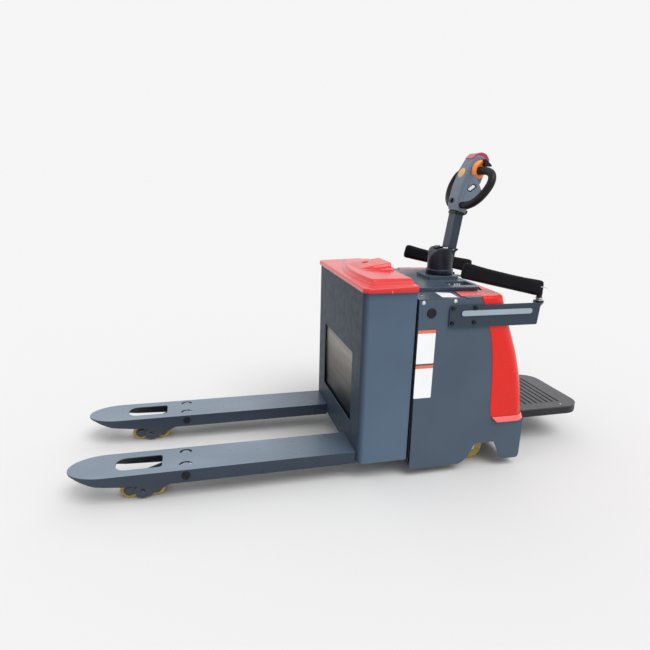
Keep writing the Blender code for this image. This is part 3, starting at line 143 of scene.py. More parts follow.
# The studio: the dome's brightness, the floor's drop below the wheels, the broad sun's strength,
# spread and lean, and the camera.
BACKDROP = 0.918
FLOOR_DROP = 0.0005
SUN = 1.6
SUN_SPREAD = radians(36)
SUN_LEAN = Vector((0.28, -0.6, 1.0)).normalized()
CAMERA_PLACE = Vector((-0.6035, -2.2267, 1.2411))
CAMERA_YAW = radians(14.402)
CAMERA_PITCH = radians(15.535)
CAMERA_ROLL = radians(1.383)
LENS_MM = 28.68
SENSOR_MM = 36.0


# ---------------------------------------------------------------- materials

PAINT = (0.05, 0.073, 0.104)
ORANGE_PEEL = 0.0000015


class Surface:
    """A Principled material built up node by node. slot is the record's name for the finish; it is kept on
    the surface but not used.
    """

    def __init__(self, name, slot=None, roughness=0.5, metallic=0.0):
        self.slot = slot
        self.material = bpy.data.materials.new(name)
        self.material.use_nodes = True
        self.tree = self.material.node_tree
        self.shader = self.tree.nodes["Principled BSDF"]
        self.shader.inputs["Roughness"].default_value = roughness
        self.shader.inputs["Metallic"].default_value = metallic
        self.place = self.tree.nodes.new("ShaderNodeTexCoord").outputs["Object"]

    def node(self, kind, **settings):
        made = self.tree.nodes.new("ShaderNode" + kind)
        for key, value in settings.items():
            setattr(made, key, value)
        return made

    def link(self, source, target):
        """Feed a socket from another one, or set it to a number."""
        if isinstance(source, (int, float)):
            target.default_value = source
        else:
            self.tree.links.new(source, target)

    def noise(self, scale, detail=3.0, stretch=None):
        made = self.node("TexNoise")
        made.inputs["Scale"].default_value = scale
        made.inputs["Detail"].default_value = detail
        place = self.place
        if stretch:
            mapping = self.node("Mapping")
            mapping.inputs["Scale"].default_value = stretch
            self.link(place, mapping.inputs["Vector"])
            place = mapping.outputs["Vector"]
        self.link(place, made.inputs["Vector"])
        return made.outputs["Fac"]

    def cells(self, scale):
        made = self.node("TexVoronoi")
        made.inputs["Scale"].default_value = scale
        self.link(self.place, made.inputs["Vector"])
        return made.outputs["Distance"]

    def along(self, axis):
        """The place on the object along one axis."""
        parts = self.node("SeparateXYZ")
        self.link(self.place, parts.inputs["Vector"])
        return parts.outputs[axis]

    def facing(self, axis):
        """How far the surface faces along one axis, from -1 to 1."""
        parts = self.node("SeparateXYZ")
        self.link(self.node("NewGeometry").outputs["Normal"], parts.inputs["Vector"])
        return parts.outputs[axis]

    def edges(self, reach=0.0035):
        """Close to one on open faces, and lower within a short reach of an edge."""
        softened = self.node("Bevel", samples=4)
        softened.inputs["Radius"].default_value = reach
        agreement = self.node("VectorMath", operation="DOT_PRODUCT")
        self.link(softened.outputs["Normal"], agreement.inputs[0])
        self.link(self.node("NewGeometry").outputs["Normal"], agreement.inputs[1])
        return agreement.outputs["Value"]

    def maths(self, operation, *values):
        made = self.node("Math", operation=operation)
        for value, socket in zip(values, made.inputs):
            self.link(value, socket)
        return made.outputs[0]

    def ramp(self, source, stops):
        made = self.node("ValToRGB")
        elements = made.color_ramp.elements
        while len(elements) < len(stops):
            elements.new(0.5)
        for element, (position, colour) in zip(elements, stops):
            element.position = position
            element.color = (*colour, 1.0)
        self.link(source, made.inputs["Fac"])
        return made.outputs["Color"]

    def mottled(self, first, second, scale, detail, stretch=None, spread=0.2):
        """A colour that drifts between two tones in soft patches."""
        return self.ramp(self.noise(scale, detail, stretch), [(0.5 - spread, first), (0.5 + spread, second)])

    def scaled(self, source, low, high, from_low=0.3, from_high=0.7):
        made = self.node("MapRange")
        limits = {"From Min": from_low, "From Max": from_high, "To Min": low, "To Max": high}
        for name, value in limits.items():
            made.inputs[name].default_value = value
        self.link(source, made.inputs["Value"])
        return made.outputs["Result"]

    def mixed(self, share, first, second, blend="MIX"):
        made = self.node("Mix", data_type="RGBA", blend_type=blend)
        self.link(share, made.inputs["Factor"])
        self.link(first, made.inputs["A"])
        self.link(second, made.inputs["B"])
        return made.outputs["Result"]

    def colour(self, source):
        self.link(source, self.shader.inputs["Base Color"])

    def roughness(self, source):
        self.link(source, self.shader.inputs["Roughness"])

    def bump(self, source, depth, strength=1.0):
        made = self.node("Bump")
        made.inputs["Strength"].default_value = strength
        made.inputs["Distance"].default_value = depth
        self.link(source, made.inputs["Height"])
        previous = self.shader.inputs["Normal"]
        if previous.is_linked:
            self.link(previous.links[0].from_socket, made.inputs["Normal"])
        self.link(made.outputs["Normal"], previous)

    def grained(self, low, high, patches, grain, depth):
        """Roughness that drifts in patches, and a fine bump. Both patterns are noise arguments."""
        self.roughness(self.scaled(self.noise(*patches), low, high))
        self.bump(self.noise(*grain), depth)

    def gloss(self, specular, coat=0.0, coat_roughness=0.03):
        """How strongly the surface reflects, and its clear coat."""
        return self.set(Specular_IOR_Level=specular, Coat_Weight=coat, Coat_Roughness=coat_roughness)

    def set(self, **values):
        """Set the shader's own sockets: Coat_Weight is the socket named Coat Weight."""
        for name, value in values.items():
            self.shader.inputs[name.replace("_", " ")].default_value = value
        return self


def shade(colour, factor):
    return tuple(channel * factor for channel in colour)


def painted(name, colour, roughness, edge_light_and_wear=0.0, orange_peel=ORANGE_PEEL, slot="body_paint"):
    """Powder coat: broad tone changes, fine orange peel, and paler edges that are a painted edge highlight as
    well as wear from rubbing.
    """
    made = Surface(name, slot)
    tone = made.mottled(shade(colour, 0.92), shade(colour, 1.08), 3.5, 4.0)
    if edge_light_and_wear:
        # Painted highlight and wear: the edges are mixed towards a paler copy of the paint.
        lit_and_rubbed = made.scaled(made.edges(), edge_light_and_wear, 0.0, 0.8, 0.99)
        pale = made.mottled(shade(colour, 2.2), shade(colour, 3.4), 140.0, 2.0, spread=0.15)
        tone = made.mixed(lit_and_rubbed, tone, pale)
    made.colour(tone)
    made.grained(roughness - 0.04, roughness + 0.06, (26.0, 4.0), (300.0, 1.0), orange_peel)
    return made


def moulded(name, slot, colour, roughness=0.45, grain=900.0, depth=0.00001, spread=0.08):
    """Moulded plastic with a fine spark-eroded grain and a faint flow mottling."""
    made = Surface(name, slot)
    made.colour(made.mottled(shade(colour, 1 - spread), shade(colour, 1 + spread), 6.0, 4.0, spread=0.22))
    made.grained(roughness - 0.04, roughness + 0.06, (40.0, 3.0), (grain, 2.0), depth)
    return made


def leathered(name, slot, colour):
    """Vinyl-covered foam: pebbled grain, soft sheen and slightly paler scuffs."""
    made = Surface(name, slot)
    made.colour(made.ramp(made.noise(14.0, 6.0), [
        (0.4, colour), (0.62, shade(colour, 1.3)), (0.74, shade(colour, 1.8))]))
    made.bump(made.cells(620.0), 0.00006, 0.8)
    made.grained(0.46, 0.62, (45.0, 3.0), (55.0, 4.0), 0.00012)
    return made


def metal(name, slot, colour, roughness=0.32, brushed=(1.0, 1.0, 1.0)):
    """Zinc-plated or brushed steel. brushed stretches the streaks along an axis."""
    made = Surface(name, slot, metallic=1.0)
    made.colour(made.mottled(shade(colour, 0.78), shade(colour, 1.12), 24.0, 5.0, spread=0.18))
    streaks = made.noise(90.0, 3.0, brushed)
    made.roughness(made.scaled(streaks, roughness - 0.08, roughness + 0.12))
    made.bump(streaks, 0.00003)
    return made


def wheel_finish(name, joint, tyre, hub, hub_radius):
    """A cast tyre round a darker hub, told apart by the distance from the spin axis."""
    made = Surface(name, "polyurethane")
    axle = JOINTS[joint]["pos_m"]
    ahead = made.maths("POWER", made.maths("SUBTRACT", made.along("X"), axle[0]), 2.0)
    above = made.maths("POWER", made.maths("SUBTRACT", made.along("Z"), axle[2]), 2.0)
    radius = made.maths("SQRT", made.maths("ADD", ahead, above))
    outside = made.scaled(radius, 0.0, 1.0, hub_radius - 0.0006, hub_radius + 0.0006)
    rubber = made.mottled(shade(tyre, 0.72), shade(tyre, 1.15), 30.0, 5.0)
    iron = made.mottled(shade(hub, 0.7), shade(hub, 1.3), 60.0, 4.0)
    made.colour(made.mixed(outside, iron, rubber))
    made.grained(0.34, 0.52, (80.0, 3.0), (260.0, 3.0), 0.0001)
    return made


def battery_metal():
    """The battery case's sheet: painted shade darkens it at the top and in blue-black below, and a lighter
    tan band between is its brownish grey lifted by a painted highlight.
    """
    made = Surface("battery_sheet", "battery_case", metallic=0.3)
    # Painted shade at the top and bottom, and a painted highlight in the middle band, set by height on the
    # object.
    height = made.scaled(made.along("Z"), 0.0, 1.0, 0.14, 0.6)
    tones = made.ramp(height, [
        (0.0, (0.004, 0.006, 0.012)), (0.3, (0.007, 0.01, 0.018)), (0.62, (0.15, 0.14, 0.118)),
        (0.8, (0.3, 0.285, 0.255)), (0.92, (0.08, 0.076, 0.072)), (1.0, (0.03, 0.03, 0.032))])
    streaks = made.mottled((0.88, 0.88, 0.88), (1.0, 1.0, 1.0), 60.0, 4.0, (1.0, 0.05, 3.0))
    made.colour(made.mixed(1.0, tones, streaks, "MULTIPLY"))
    made.grained(0.36, 0.5, (50.0, 3.0, (1.0, 0.1, 3.0)), (300.0, 3.0, (1.0, 0.05, 2.0)), 0.00001)
    return made.gloss(0.12)


def fork_coat():
    """Painted light: the upward faces are paler as a painted reflection of the bright dome, less so towards
    the box end, where painted shade darkens them, and the sides are dark as painted shade.
    """
    made = Surface("fork_powder_coat", "body_paint")
    # Painted reflection on the upward faces, painted shade on the sides.
    upward = made.scaled(made.facing("Z"), 0.0, 1.0, 0.45, 0.95)
    sides = made.mottled((0.018, 0.029, 0.05), (0.024, 0.037, 0.06), 3.5, 4.0)
    lit_tops = made.mottled((0.14, 0.182, 0.232), (0.195, 0.245, 0.305), 2.6, 5.0, (0.6, 2.0, 1.0))
    shaded_root = made.mottled((0.048, 0.072, 0.108), (0.066, 0.094, 0.136), 2.6, 5.0)
    # Painted shade: the upward faces darken towards the box.
    root_shade_share = made.scaled(made.along("X"), 0.0, 1.0, -0.42, -0.04)
    made.colour(made.mixed(upward, sides, made.mixed(root_shade_share, lit_tops, shaded_root)))
    made.grained(0.26, 0.4, (26.0, 4.0), (300.0, 1.0), ORANGE_PEEL)
    return made.gloss(0.36, 0.12, 0.18)


def box_coat():
    """The battery box's paint: its front plate is painted darker than the wrapped sides, as painted shade on
    the face that looks ahead.
    """
    made = Surface("box_powder_coat", "body_paint")
    # Painted shade: faces that look ahead take a darker copy of the paint, the sides a lighter one.
    forward = made.scaled(made.facing("X"), 1.0, 0.0, -0.95, -0.25)
    sides = made.mottled(shade(PAINT, 1.5), shade(PAINT, 1.85), 1.6, 4.0)
    front = made.mottled(shade(PAINT, 0.58), shade(PAINT, 0.74), 1.6, 4.0)
    made.colour(made.mixed(forward, sides, front))
    made.grained(0.38, 0.5, (26.0, 4.0), (300.0, 1.0), ORANGE_PEEL)
    return made.gloss(0.08)


paint = painted("blue_grey_powder_coat", shade(PAINT, 1.12), 0.36, 0.3).gloss(0.26, 0.05, 0.25)
deck_paint = painted("deck_powder_coat", shade(PAINT, 1.05), 0.32).gloss(0.3, 0.08, 0.2)
tube_paint = painted("tiller_powder_coat", (0.025, 0.039, 0.062), 0.34, 0.3).gloss(0.35)
bracket_paint = painted("bracket_powder_coat", (0.022, 0.035, 0.056), 0.3, 0.5).gloss(0.35)
arm_paint = painted("arm_powder_coat", shade(PAINT, 0.55), 0.28, 0.7).gloss(0.5, 0.2, 0.16)
frame_paint = painted("frame_primer", shade(PAINT, 0.5), 0.5)
# Painted highlight: the pressed rib on each guard bracket is painted paler than the bracket, for the light
# its top catches.
rib_highlight = painted("pale_rib_highlight", (0.29, 0.36, 0.42), 0.3)
cast_iron = painted("cast_iron", (0.02, 0.024, 0.032), 0.5, orange_peel=0.00006, slot="cast_iron")
fork_paint = fork_coat()
box_paint = box_coat()

red = moulded("red_moulding", "red_cover", (0.65, 0.013, 0.008), 0.26, 500, 2e-6, 0.05).gloss(0.26, 0.1, 0.18)
# Painted highlight: the foot's roll is a paler pink copy of the cover's red.
red_foot_highlight = moulded("red_foot_highlight_moulding", "red_cover", (0.74, 0.1, 0.1), 0.16, 500, 2e-6, 0.05)
red_foot_highlight.gloss(0.6, 0.9, 0.08)
red_top = moulded("red_lid_moulding", "red_cover", (0.64, 0.024, 0.026), 0.2, 500, 2e-6, 0.05)
red_top.gloss(0.34, 0.18, 0.16)
# Painted shade: a near-black red that stands for the inside of the lid's latch hole.
hole_shade_red = moulded("red_hole_shade", "red_cover", (0.09, 0.003, 0.005), 0.5)
red_button = moulded("red_button", "red_cover", (0.6, 0.012, 0.01), 0.25).gloss(0.5, 0.4)
clear_magenta = moulded("clear_magenta", "red_cover", (0.5, 0.006, 0.07), 0.2, 300, 5e-6, 0.12)
clear_magenta.set(Transmission_Weight=0.2, Coat_Weight=0.5, IOR=1.49)

black_plastic = moulded("black_plastic", "black_plastic", (0.005, 0.0055, 0.0075), 0.4, 700, 2e-5, 0.2)
black_plastic.gloss(0.28)
grip_rubber = moulded("grip_rubber", "rubber", (0.0045, 0.0045, 0.0065), 0.44, 520, 5e-5, 0.2).gloss(0.26)
tread_rubber = moulded("tread_rubber", "rubber", (0.016, 0.018, 0.026), 0.34, 480, 2e-5, 0.3)
tread_rubber.gloss(0.5, 0.25, 0.2)
platform_plastic = moulded("platform_plastic", "black_plastic", (0.0075, 0.008, 0.0105), 0.42, 500, 4e-5,
                           0.25)
platform_plastic.gloss(0.34, 0.08, 0.15)
head_plastic = moulded("head_plastic", "grey_plastic", (0.15, 0.19, 0.24), 0.42, 800, 2e-5, 0.06).gloss(0.3)
boot_plastic = moulded("boot_plastic", "black_plastic", (0.0065, 0.009, 0.0165), 0.34, 700, 1e-5, 0.18)
boot_plastic.gloss(0.34)
orange_plastic = moulded("orange_plastic", "orange_plastic", (0.86, 0.25, 0.05), 0.3, 800, 1e-5, 0.06)
horn_plastic = moulded("horn_plastic", "orange_plastic", (0.8, 0.4, 0.16), 0.42, 800, 1e-5, 0.05)
display_glass = moulded("display_glass", "black_plastic", (0.006, 0.008, 0.012), 0.1, 200, 5e-6, 0.2)
display_glass.gloss(0.5, 0.8)
pad_vinyl = leathered("guard_vinyl", "rubber", (0.003, 0.0031, 0.005)).gloss(0.12)
paper = moulded("label_vinyl", None, (0.8, 0.81, 0.82), 0.45, 300, 5e-6, 0.03)
band = moulded("label_band", None, (0.72, 0.14, 0.06), 0.45, 300, 5e-6, 0.05)

steel = metal("zinc_plate", "steel", (0.55, 0.56, 0.58))
bright_steel = metal("polished_pin", "steel", (0.72, 0.73, 0.75), 0.2)
dark_steel = metal("blackened_steel", "steel", (0.03, 0.031, 0.036), 0.4)
aluminium = metal("aluminium_case", "cast_iron", (0.5, 0.51, 0.53), 0.4, (1.0, 12.0, 1.0))
battery_sheet = battery_metal()


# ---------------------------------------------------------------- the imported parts

# Each part that keeps its own shape: its node, its surface, and how far its edges are rounded.
SINGLE_PARTS = (
    ("battery_box", box_paint, 0.0015),
    ("battery_pack", battery_sheet, 0.0015),
    ("rocker_shaft", steel, 0.0008),
    ("chassis_frame", frame_paint, 0.0),
    ("rear_skirt", paint, 0.0012),
    ("top_deck", deck_paint, 0.0008),
    ("console_cover", deck_paint, 0.0016),
    ("hydraulic_unit", aluminium, 0.001),
    ("lift_cylinder", steel, 0.0008),
    ("lift_ram", bright_steel, 0.0008),
    ("motor_controller", aluminium, 0.0006),
    ("drive_motor", cast_iron, 0.001),
    ("drive_gearbox", cast_iron, 0.0015),
    ("steering_column", steel, 0.0008),
    ("tiller_tube", tube_paint, 0.0035),
    ("tiller_pin", bright_steel, 0.0006),
    ("key_switch", steel, 0.0004),
    ("emergency_stop", red_button, 0.0012),
    ("platform_plate", platform_plastic, 0.002),
    ("platform_mat", tread_rubber, 0.0008),
    ("lift_button", orange_plastic, 0.001),
    ("lower_button", orange_plastic, 0.001),
)
PAIRED_PARTS = (
    ("side_panel", paint, 0.0012),
    ("guard_bracket", bracket_paint, 0.001),
    ("bracket_bolts", dark_steel, 0.0012),
    ("guard_arm", dark_steel, 0.0006),
    ("arm_axle", dark_steel, 0.0008),
    ("load_arm", arm_paint, 0.0012),
    ("bogie", arm_paint, 0.0008),
    ("pull_rod", steel, 0.0008),
    ("caster_fork", steel, 0.0006),
)


def bevelled(made, width, angle, segments=2, clamped=True):
    """Round the edges that turn by more than an angle."""
    edges = made.modifiers.new("rounded_edges", "BEVEL")
    edges.width = width
    edges.segments = segments
    edges.limit_method = "ANGLE"
    edges.angle_limit = radians(angle)
    edges.use_clamp_overlap = clamped


def dress(node, surface, bevel=0.0, angle=32.0):
    """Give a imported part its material, and round its edges with modifiers."""
    made = NODES[node]
    made.data.materials.clear()
    made.data.materials.append(surface.material)
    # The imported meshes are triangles, so level ones are merged before the edges are rounded.
    weld = made.modifiers.new("weld", "WELD")
    weld.merge_threshold = 0.00002
    flat_faces = made.modifiers.new("flat_faces", "DECIMATE")
    flat_faces.decimate_type = "DISSOLVE"
    flat_faces.angle_limit = radians(0.6)
    if bevel:
        bevelled(made, bevel, angle, clamped=False)
    normals = made.modifiers.new("normals", "WEIGHTED_NORMAL")
    normals.weight = 100


def dress_parts():
    """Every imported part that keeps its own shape, except the wheels."""
    for node, surface, bevel in SINGLE_PARTS:
        dress(node, surface, bevel)
    for side, _ in SIDES:
        dress("fork_" + side, fork_paint, 0.0015, 50.0)
        for node, surface, bevel in PAIRED_PARTS:
            dress(f"{node}_{side}", surface, bevel)


def dress_wheels():
    """The load rollers, the casters and the drive wheel: cast tyres on iron hubs."""
    for side, _ in SIDES:
        for wheel in (side + "_front", side + "_rear"):
            finish = wheel_finish("roller_" + wheel, "roller_spin_" + wheel, (0.4, 0.29, 0.075),
                                  (0.055, 0.05, 0.04), 0.024)
            dress("load_roller_" + wheel, finish, 0.001)
        finish = wheel_finish("caster_tyre_" + side, "caster_spin_" + side, (0.4, 0.29, 0.065),
                              (0.09, 0.085, 0.07), 0.022)
        dress("caster_wheel_" + side, finish, 0.0012)
    finish = wheel_finish("drive_tyre", "drive_wheel_spin", (0.16, 0.12, 0.05), (0.06, 0.06, 0.065), 0.088)
    dress("drive_wheel", finish, 0.0025)


# ---------------------------------------------------------------- building

def mesh_of(builder, name):
    """Turn a builder into a mesh, with its faces outward."""
    bmesh.ops.recalc_face_normals(builder, faces=builder.faces)
    mesh = bpy.data.meshes.new(name)
    builder.to_mesh(mesh)
    builder.free()
    return mesh


def join_rows(builder, first, second, closed=True):
    """Quads between two rows of equal length."""
    count = len(first)
    for n in range(count if closed else count - 1):
        after = (n + 1) % count
        builder.faces.new((first[n], first[after], second[after], second[n]))


def shade_smooth(made):
    for face in made.data.polygons:
        face.use_smooth = True


def added(name, mesh, surface, body, smooth=True):
    """A new piece that rides on a body."""
    mesh.transform(Matrix.Translation(DATUM))
    made = bpy.data.objects.new(name, mesh)
    bpy.context.scene.collection.objects.link(made)
    made.data.materials.append(surface.material)
    if smooth:
        shade_smooth(made)
    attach(made, body)
    return made


def carved(made, mesh, operation):
    """Give a piece a Boolean modifier, and return the hidden object that it reads."""
    mesh.transform(Matrix.Translation(DATUM))
    tool = bpy.data.objects.new("tool", mesh)
    bpy.context.scene.collection.objects.link(tool)
    cutting = made.modifiers.new("carved", "BOOLEAN")
    cutting.operation = operation
    cutting.solver = "EXACT"
    cutting.object = tool
    return tool


def remeshed(made, voxel):
    skin = made.modifiers.new("skin", "REMESH")
    skin.mode = "VOXEL"
    skin.voxel_size = voxel


def settled(made, tools=()):
    """Apply every modifier of a piece, and remove the tools that they read."""
    graph = bpy.context.evaluated_depsgraph_get()
    mesh = bpy.data.meshes.new_from_object(made.evaluated_get(graph))
    made.modifiers.clear()
    made.data = mesh
    for tool in tools:
        bpy.data.objects.remove(tool)


def crisp(made, angle=35.0, bevel=0.0, segments=2):
    """Weighted normals, after an optional bevel."""
    if bevel:
        bevelled(made, bevel, angle, segments)
    made.modifiers.new("normals", "WEIGHTED_NORMAL")


def fitting(name, outline, low, high, placed, surface, body, bevel, segments=2):
    """A flat-sided small part with rounded edges."""
    made = added(name, slab(outline, low, high, placed), surface, body)
    crisp(made, 40.0, bevel, segments)
    return made


def flat(u, v, w):
    """An outline seen from above, with its offset upward."""
    return u, v, w


def upright(u, v, w):
    """An outline seen from the side, with its offset across."""
    return u, w, v


def carried(axes, lie=flat):
    """An outline laid flat or upright in a set of axes."""
    return lambda u, v, w: axes @ Vector(lie(u, v, w))


def about(x, y, z):
    """Points measured from a centre."""
    return lambda u, v, w: (x + u, y + v, z + w)


def outward(x, z, sign, face):
    """Points measured from a centre on one of the truck's sides, with the offset outward."""
    return lambda u, v, w: (x + u, sign * (face + w), z + v)


def mirrored(outline, sign):
    return [(sign * u, v) for u, v in outline]


def rounded(corners, steps=4):
    """An outline whose corners (u, v, radius) are turned into arcs."""
    outline = []
    for index, (u, v, radius) in enumerate(corners):
        here = Vector((u, v))
        back = (Vector(corners[index - 1][:2]) - here).normalized()
        ahead = (Vector(corners[(index + 1) % len(corners)][:2]) - here).normalized()
        half = back.angle(ahead) / 2
        if radius == 0 or half < 1e-4:
            outline.append((u, v))
            continue
        reach = radius / max(1e-6, sin(half) / cos(half))
        centre = here + (back + ahead).normalized() * (radius / sin(half))
        first, last = here + back * reach - centre, here + ahead * reach - centre
        turn = first.angle_signed(last)
        for step in range(steps + 1):
            spoke = first.copy()
            spoke.rotate(Matrix.Rotation(-turn * step / steps, 2))
            outline.append(tuple(centre + spoke))
    return outline


def plate(u0, v0, u1, v1, radius, steps=4):
    """A rectangle with rounded corners."""
    return rounded([(u0, v0, radius), (u1, v0, radius), (u1, v1, radius), (u0, v1, radius)], steps)


def circle(count):
    """The cosine and sine of equal steps round a circle."""
    return [(cos(2 * pi * n / count), sin(2 * pi * n / count)) for n in range(count)]


def slab(outline, low, high, placed=flat):
    """A closed prism: the outline at two offsets, with placed(u, v, w) giving each point."""
    builder = bmesh.new()
    rings = [[builder.verts.new(placed(u, v, w)) for u, v in outline] for w in (low, high)]
    builder.faces.new(rings[0])
    builder.faces.new(rings[1])
    join_rows(builder, rings[0], rings[1])
    return mesh_of(builder, "slab")


def swept(path, radii, around=16):
    """A round tube along a path, closed with flat ends. radii is one radius, or one for each point."""
    points = [Vector(point) for point in path]
    builder = bmesh.new()
    rings = []
    side = None
    for index, point in enumerate(points):
        ahead = points[min(index + 1, len(points) - 1)] - points[max(index - 1, 0)]
        ahead.normalize()
        if side is None:
            side = ahead.orthogonal().normalized()
        side = (side - ahead * side.dot(ahead)).normalized()
        across = ahead.cross(side)
        radius = radii if isinstance(radii, float) else radii[index]
        rings.append([builder.verts.new(point + (side * c + across * s) * radius) for c, s in circle(around)])
    for low, high in zip(rings, rings[1:]):
        join_rows(builder, low, high)
    builder.faces.new(rings[0])
    builder.faces.new(rings[-1])
    return mesh_of(builder, "swept")


def turned(profile, placed, around=24):
    """(radius, height) points spun about an axis. A point at radius zero closes the skin at a pole."""
    builder = bmesh.new()
    rings = []
    for radius, height in profile:
        spokes = circle(around) if radius else [(0.0, 0.0)]
        rings.append([builder.verts.new(placed(radius * c, radius * s, height)) for c, s in spokes])
    for low, high in zip(rings, rings[1:]):
        for n in range(around):
            corners = []
            for ring, index in ((low, n), (low, n + 1), (high, n + 1), (high, n)):
                corner = ring[index % len(ring)]
                if corner not in corners:
                    corners.append(corner)
            if len(corners) > 2:
                builder.faces.new(corners)
    return mesh_of(builder, "turned")


def lofted(builder, rows, closed=False):
    """Skin open rows of points one to the next, and the last to the first if closed."""
    grid = [[builder.verts.new(point) for point in row] for row in rows]
    for lower, upper in zip(grid, grid[1:] + (grid[:1] if closed else [])):
        join_rows(builder, lower, upper, closed=False)
    return grid


def blended(value, low, high):
    """A smooth step from 0 to 1."""
    share = min(max((value - low) / (high - low), 0.0), 1.0)
    return share * share * (3 - 2 * share)


def between(table, value):
    """Linear interpolation in a table of (key, value) pairs."""
    for (k0, v0), (k1, v1) in zip(table, table[1:]):
        if value <= k1:
            return v0 + (v1 - v0) * max(value - k0, 0.0) / (k1 - k0)
    return table[-1][1]


def smooth_between(table, value, spread):
    """The same table, smoothed by averaging over a short stretch."""
    return sum(between(table, value + spread * n / 3) for n in range(-3, 4)) / 7


def spline(points, steps):
    """A Catmull-Rom line through the points."""
    points = [Vector(point) for point in points]
    held = [points[0]] + points + [points[-1]]
    line = []
    for before, start, end, after in zip(held, points, points[1:], held[3:]):
        bend = 2 * before - 5 * start + 4 * end - after
        twist = 3 * start - before - 3 * end + after
        for step in range(steps):
            t = step / steps
            line.append(0.5 * (2 * start + (end - before) * t + bend * t ** 2 + twist * t ** 3))
    line.append(points[-1])
    return line


def fused(name, meshes, surface, body, voxel, smoothing, keep, cuts=()):
    """Several solids remeshed into one moulded form with soft inner corners. keep is the share of
    triangles that stay."""
    builder = bmesh.new()
    for mesh in meshes:
        builder.from_mesh(mesh)
    joined = bpy.data.meshes.new(name)
    builder.to_mesh(joined)
    builder.free()
    made = added(name, joined, surface, body)
    remeshed(made, voxel)
    tools = [carved(made, mesh, "DIFFERENCE") for mesh in cuts]
    remeshed(made, voxel)
    soft = made.modifiers.new("soft", "SMOOTH")
    soft.factor = 0.5
    soft.iterations = smoothing
    thin = made.modifiers.new("thin", "DECIMATE")
    thin.ratio = keep
    settled(made, tools)
    shade_smooth(made)
    return made


def screw_head(name, centre, normal, radius, body, surface, washer=None):
    """A domed screw head with a round socket ring, on a washer when one is given."""
    turn = Vector(normal).to_track_quat("Z", "Y").to_matrix().to_4x4()
    placed = carried(Matrix.Translation(centre) @ turn)
    rise = radius * 0.55
    head = turned([(0, rise * 0.45), (radius * 0.42, rise * 0.45), (radius * 0.5, rise),
                   (radius * 0.72, rise * 0.93), (radius * 0.95, rise * 0.45), (radius, 0.0), (0, 0.0)],
                  placed)
    added(name, head, surface, body)
    if washer:
        ring = turned([(0, 0.0), (radius * 1.7, 0.0), (radius * 1.75, 0.0005), (radius * 1.65, 0.0013),
                       (0, 0.0013)], placed, 28)
        added(name + "_washer", ring, washer, body)


# ---------------------------------------------------------------- battery lid

def lid_height(x, y, lip_top, edge_distance):
    """The lid's upper skin: rolled lip, raised bow with a two-step wall, and the wedge-shaped pull."""
    z = lip_top
    if edge_distance < LIP_ROUND:
        z -= LIP_ROUND - sqrt(max(LIP_ROUND ** 2 - (LIP_ROUND - edge_distance) ** 2, 0.0))
    # How far the point is inside the bow: its front curves back, and its corners are round.
    bow_front = 0.041 + 0.5 * (y + 0.12) ** 2
    shares = ((x - bow_front) / 0.024, (y + 0.346) / 0.044, (0.285 - y) / 0.044)
    short = sum(max(1 - share, 0.0) ** 3 for share in shares) ** (1 / 3)
    wall = min(max(1 - short, 0.0), 1.0)
    if wall > 0:
        climb = 0.42 * blended(wall, 0.0, 0.5) + 0.58 * blended(wall, 0.55, 0.95)
        z += (BOW_LEVEL - lip_top) * climb * blended(edge_distance, 0.0, 0.006)
    # The pull rises to the rear in two steps on each side of its middle.
    off_middle = abs(y - 0.01)
    wedge = 0.027 * min(max((x - 0.098) / 0.15, 0.0), 1.0) ** 0.8
    steps = 0.42 * (1 - blended(off_middle, 0.112, 0.119))
    steps += 0.58 * (1 - blended(off_middle, 0.078, 0.086))
    z += wedge * steps * blended(edge_distance, 0.0, 0.007)
    hollow = hypot((x - HOLLOW_X) / 0.015, (y - HOLLOW_Y) / 0.021)
    z -= 0.007 * (1 - blended(hollow, 0.8, 1.0))
    return z


def ticks(low, high, fine, coarse, edge):
    """Grid stations that crowd towards both ends."""
    near = [low + fine * n for n in range(int(edge / fine) + 1)]
    middle_low, middle_high = near[-1], high - (near[-1] - low)
    count = max(2, round((middle_high - middle_low) / coarse))
    middle = [middle_low + (middle_high - middle_low) * n / count for n in range(1, count)]
    return near + middle + [high - (x - low) for x in reversed(near)]


def corner_inset(reach, radius):
    """How far a round corner draws an end in, at a distance from the side."""
    if reach >= radius:
        return 0.0
    return radius - sqrt(max(radius * radius - (radius - reach) ** 2, 0.0))


def lid_rows():
    """Rows of points over the lid's top, from side to side."""
    front, rear, half = LID_LOW.x, LID_HIGH.x, LID_HIGH.y
    rows = []
    for y in ticks(-half, half, 0.0012, 0.0032, 0.008):
        reach = half - abs(y)
        low = front + corner_inset(reach, 0.03)
        high = rear - corner_inset(reach, 0.012)
        row = []
        for x in ticks(front, rear, 0.0012, 0.003, 0.008):
            share = (x - front) / (rear - front)
            place = low + (high - low) * share
            edge = min(reach, place - low, high - place)
            row.append((place, y, lid_height(place, y, LIP_FRONT + LIP_RISE * share, edge)))
        rows.append(row)
    return rows


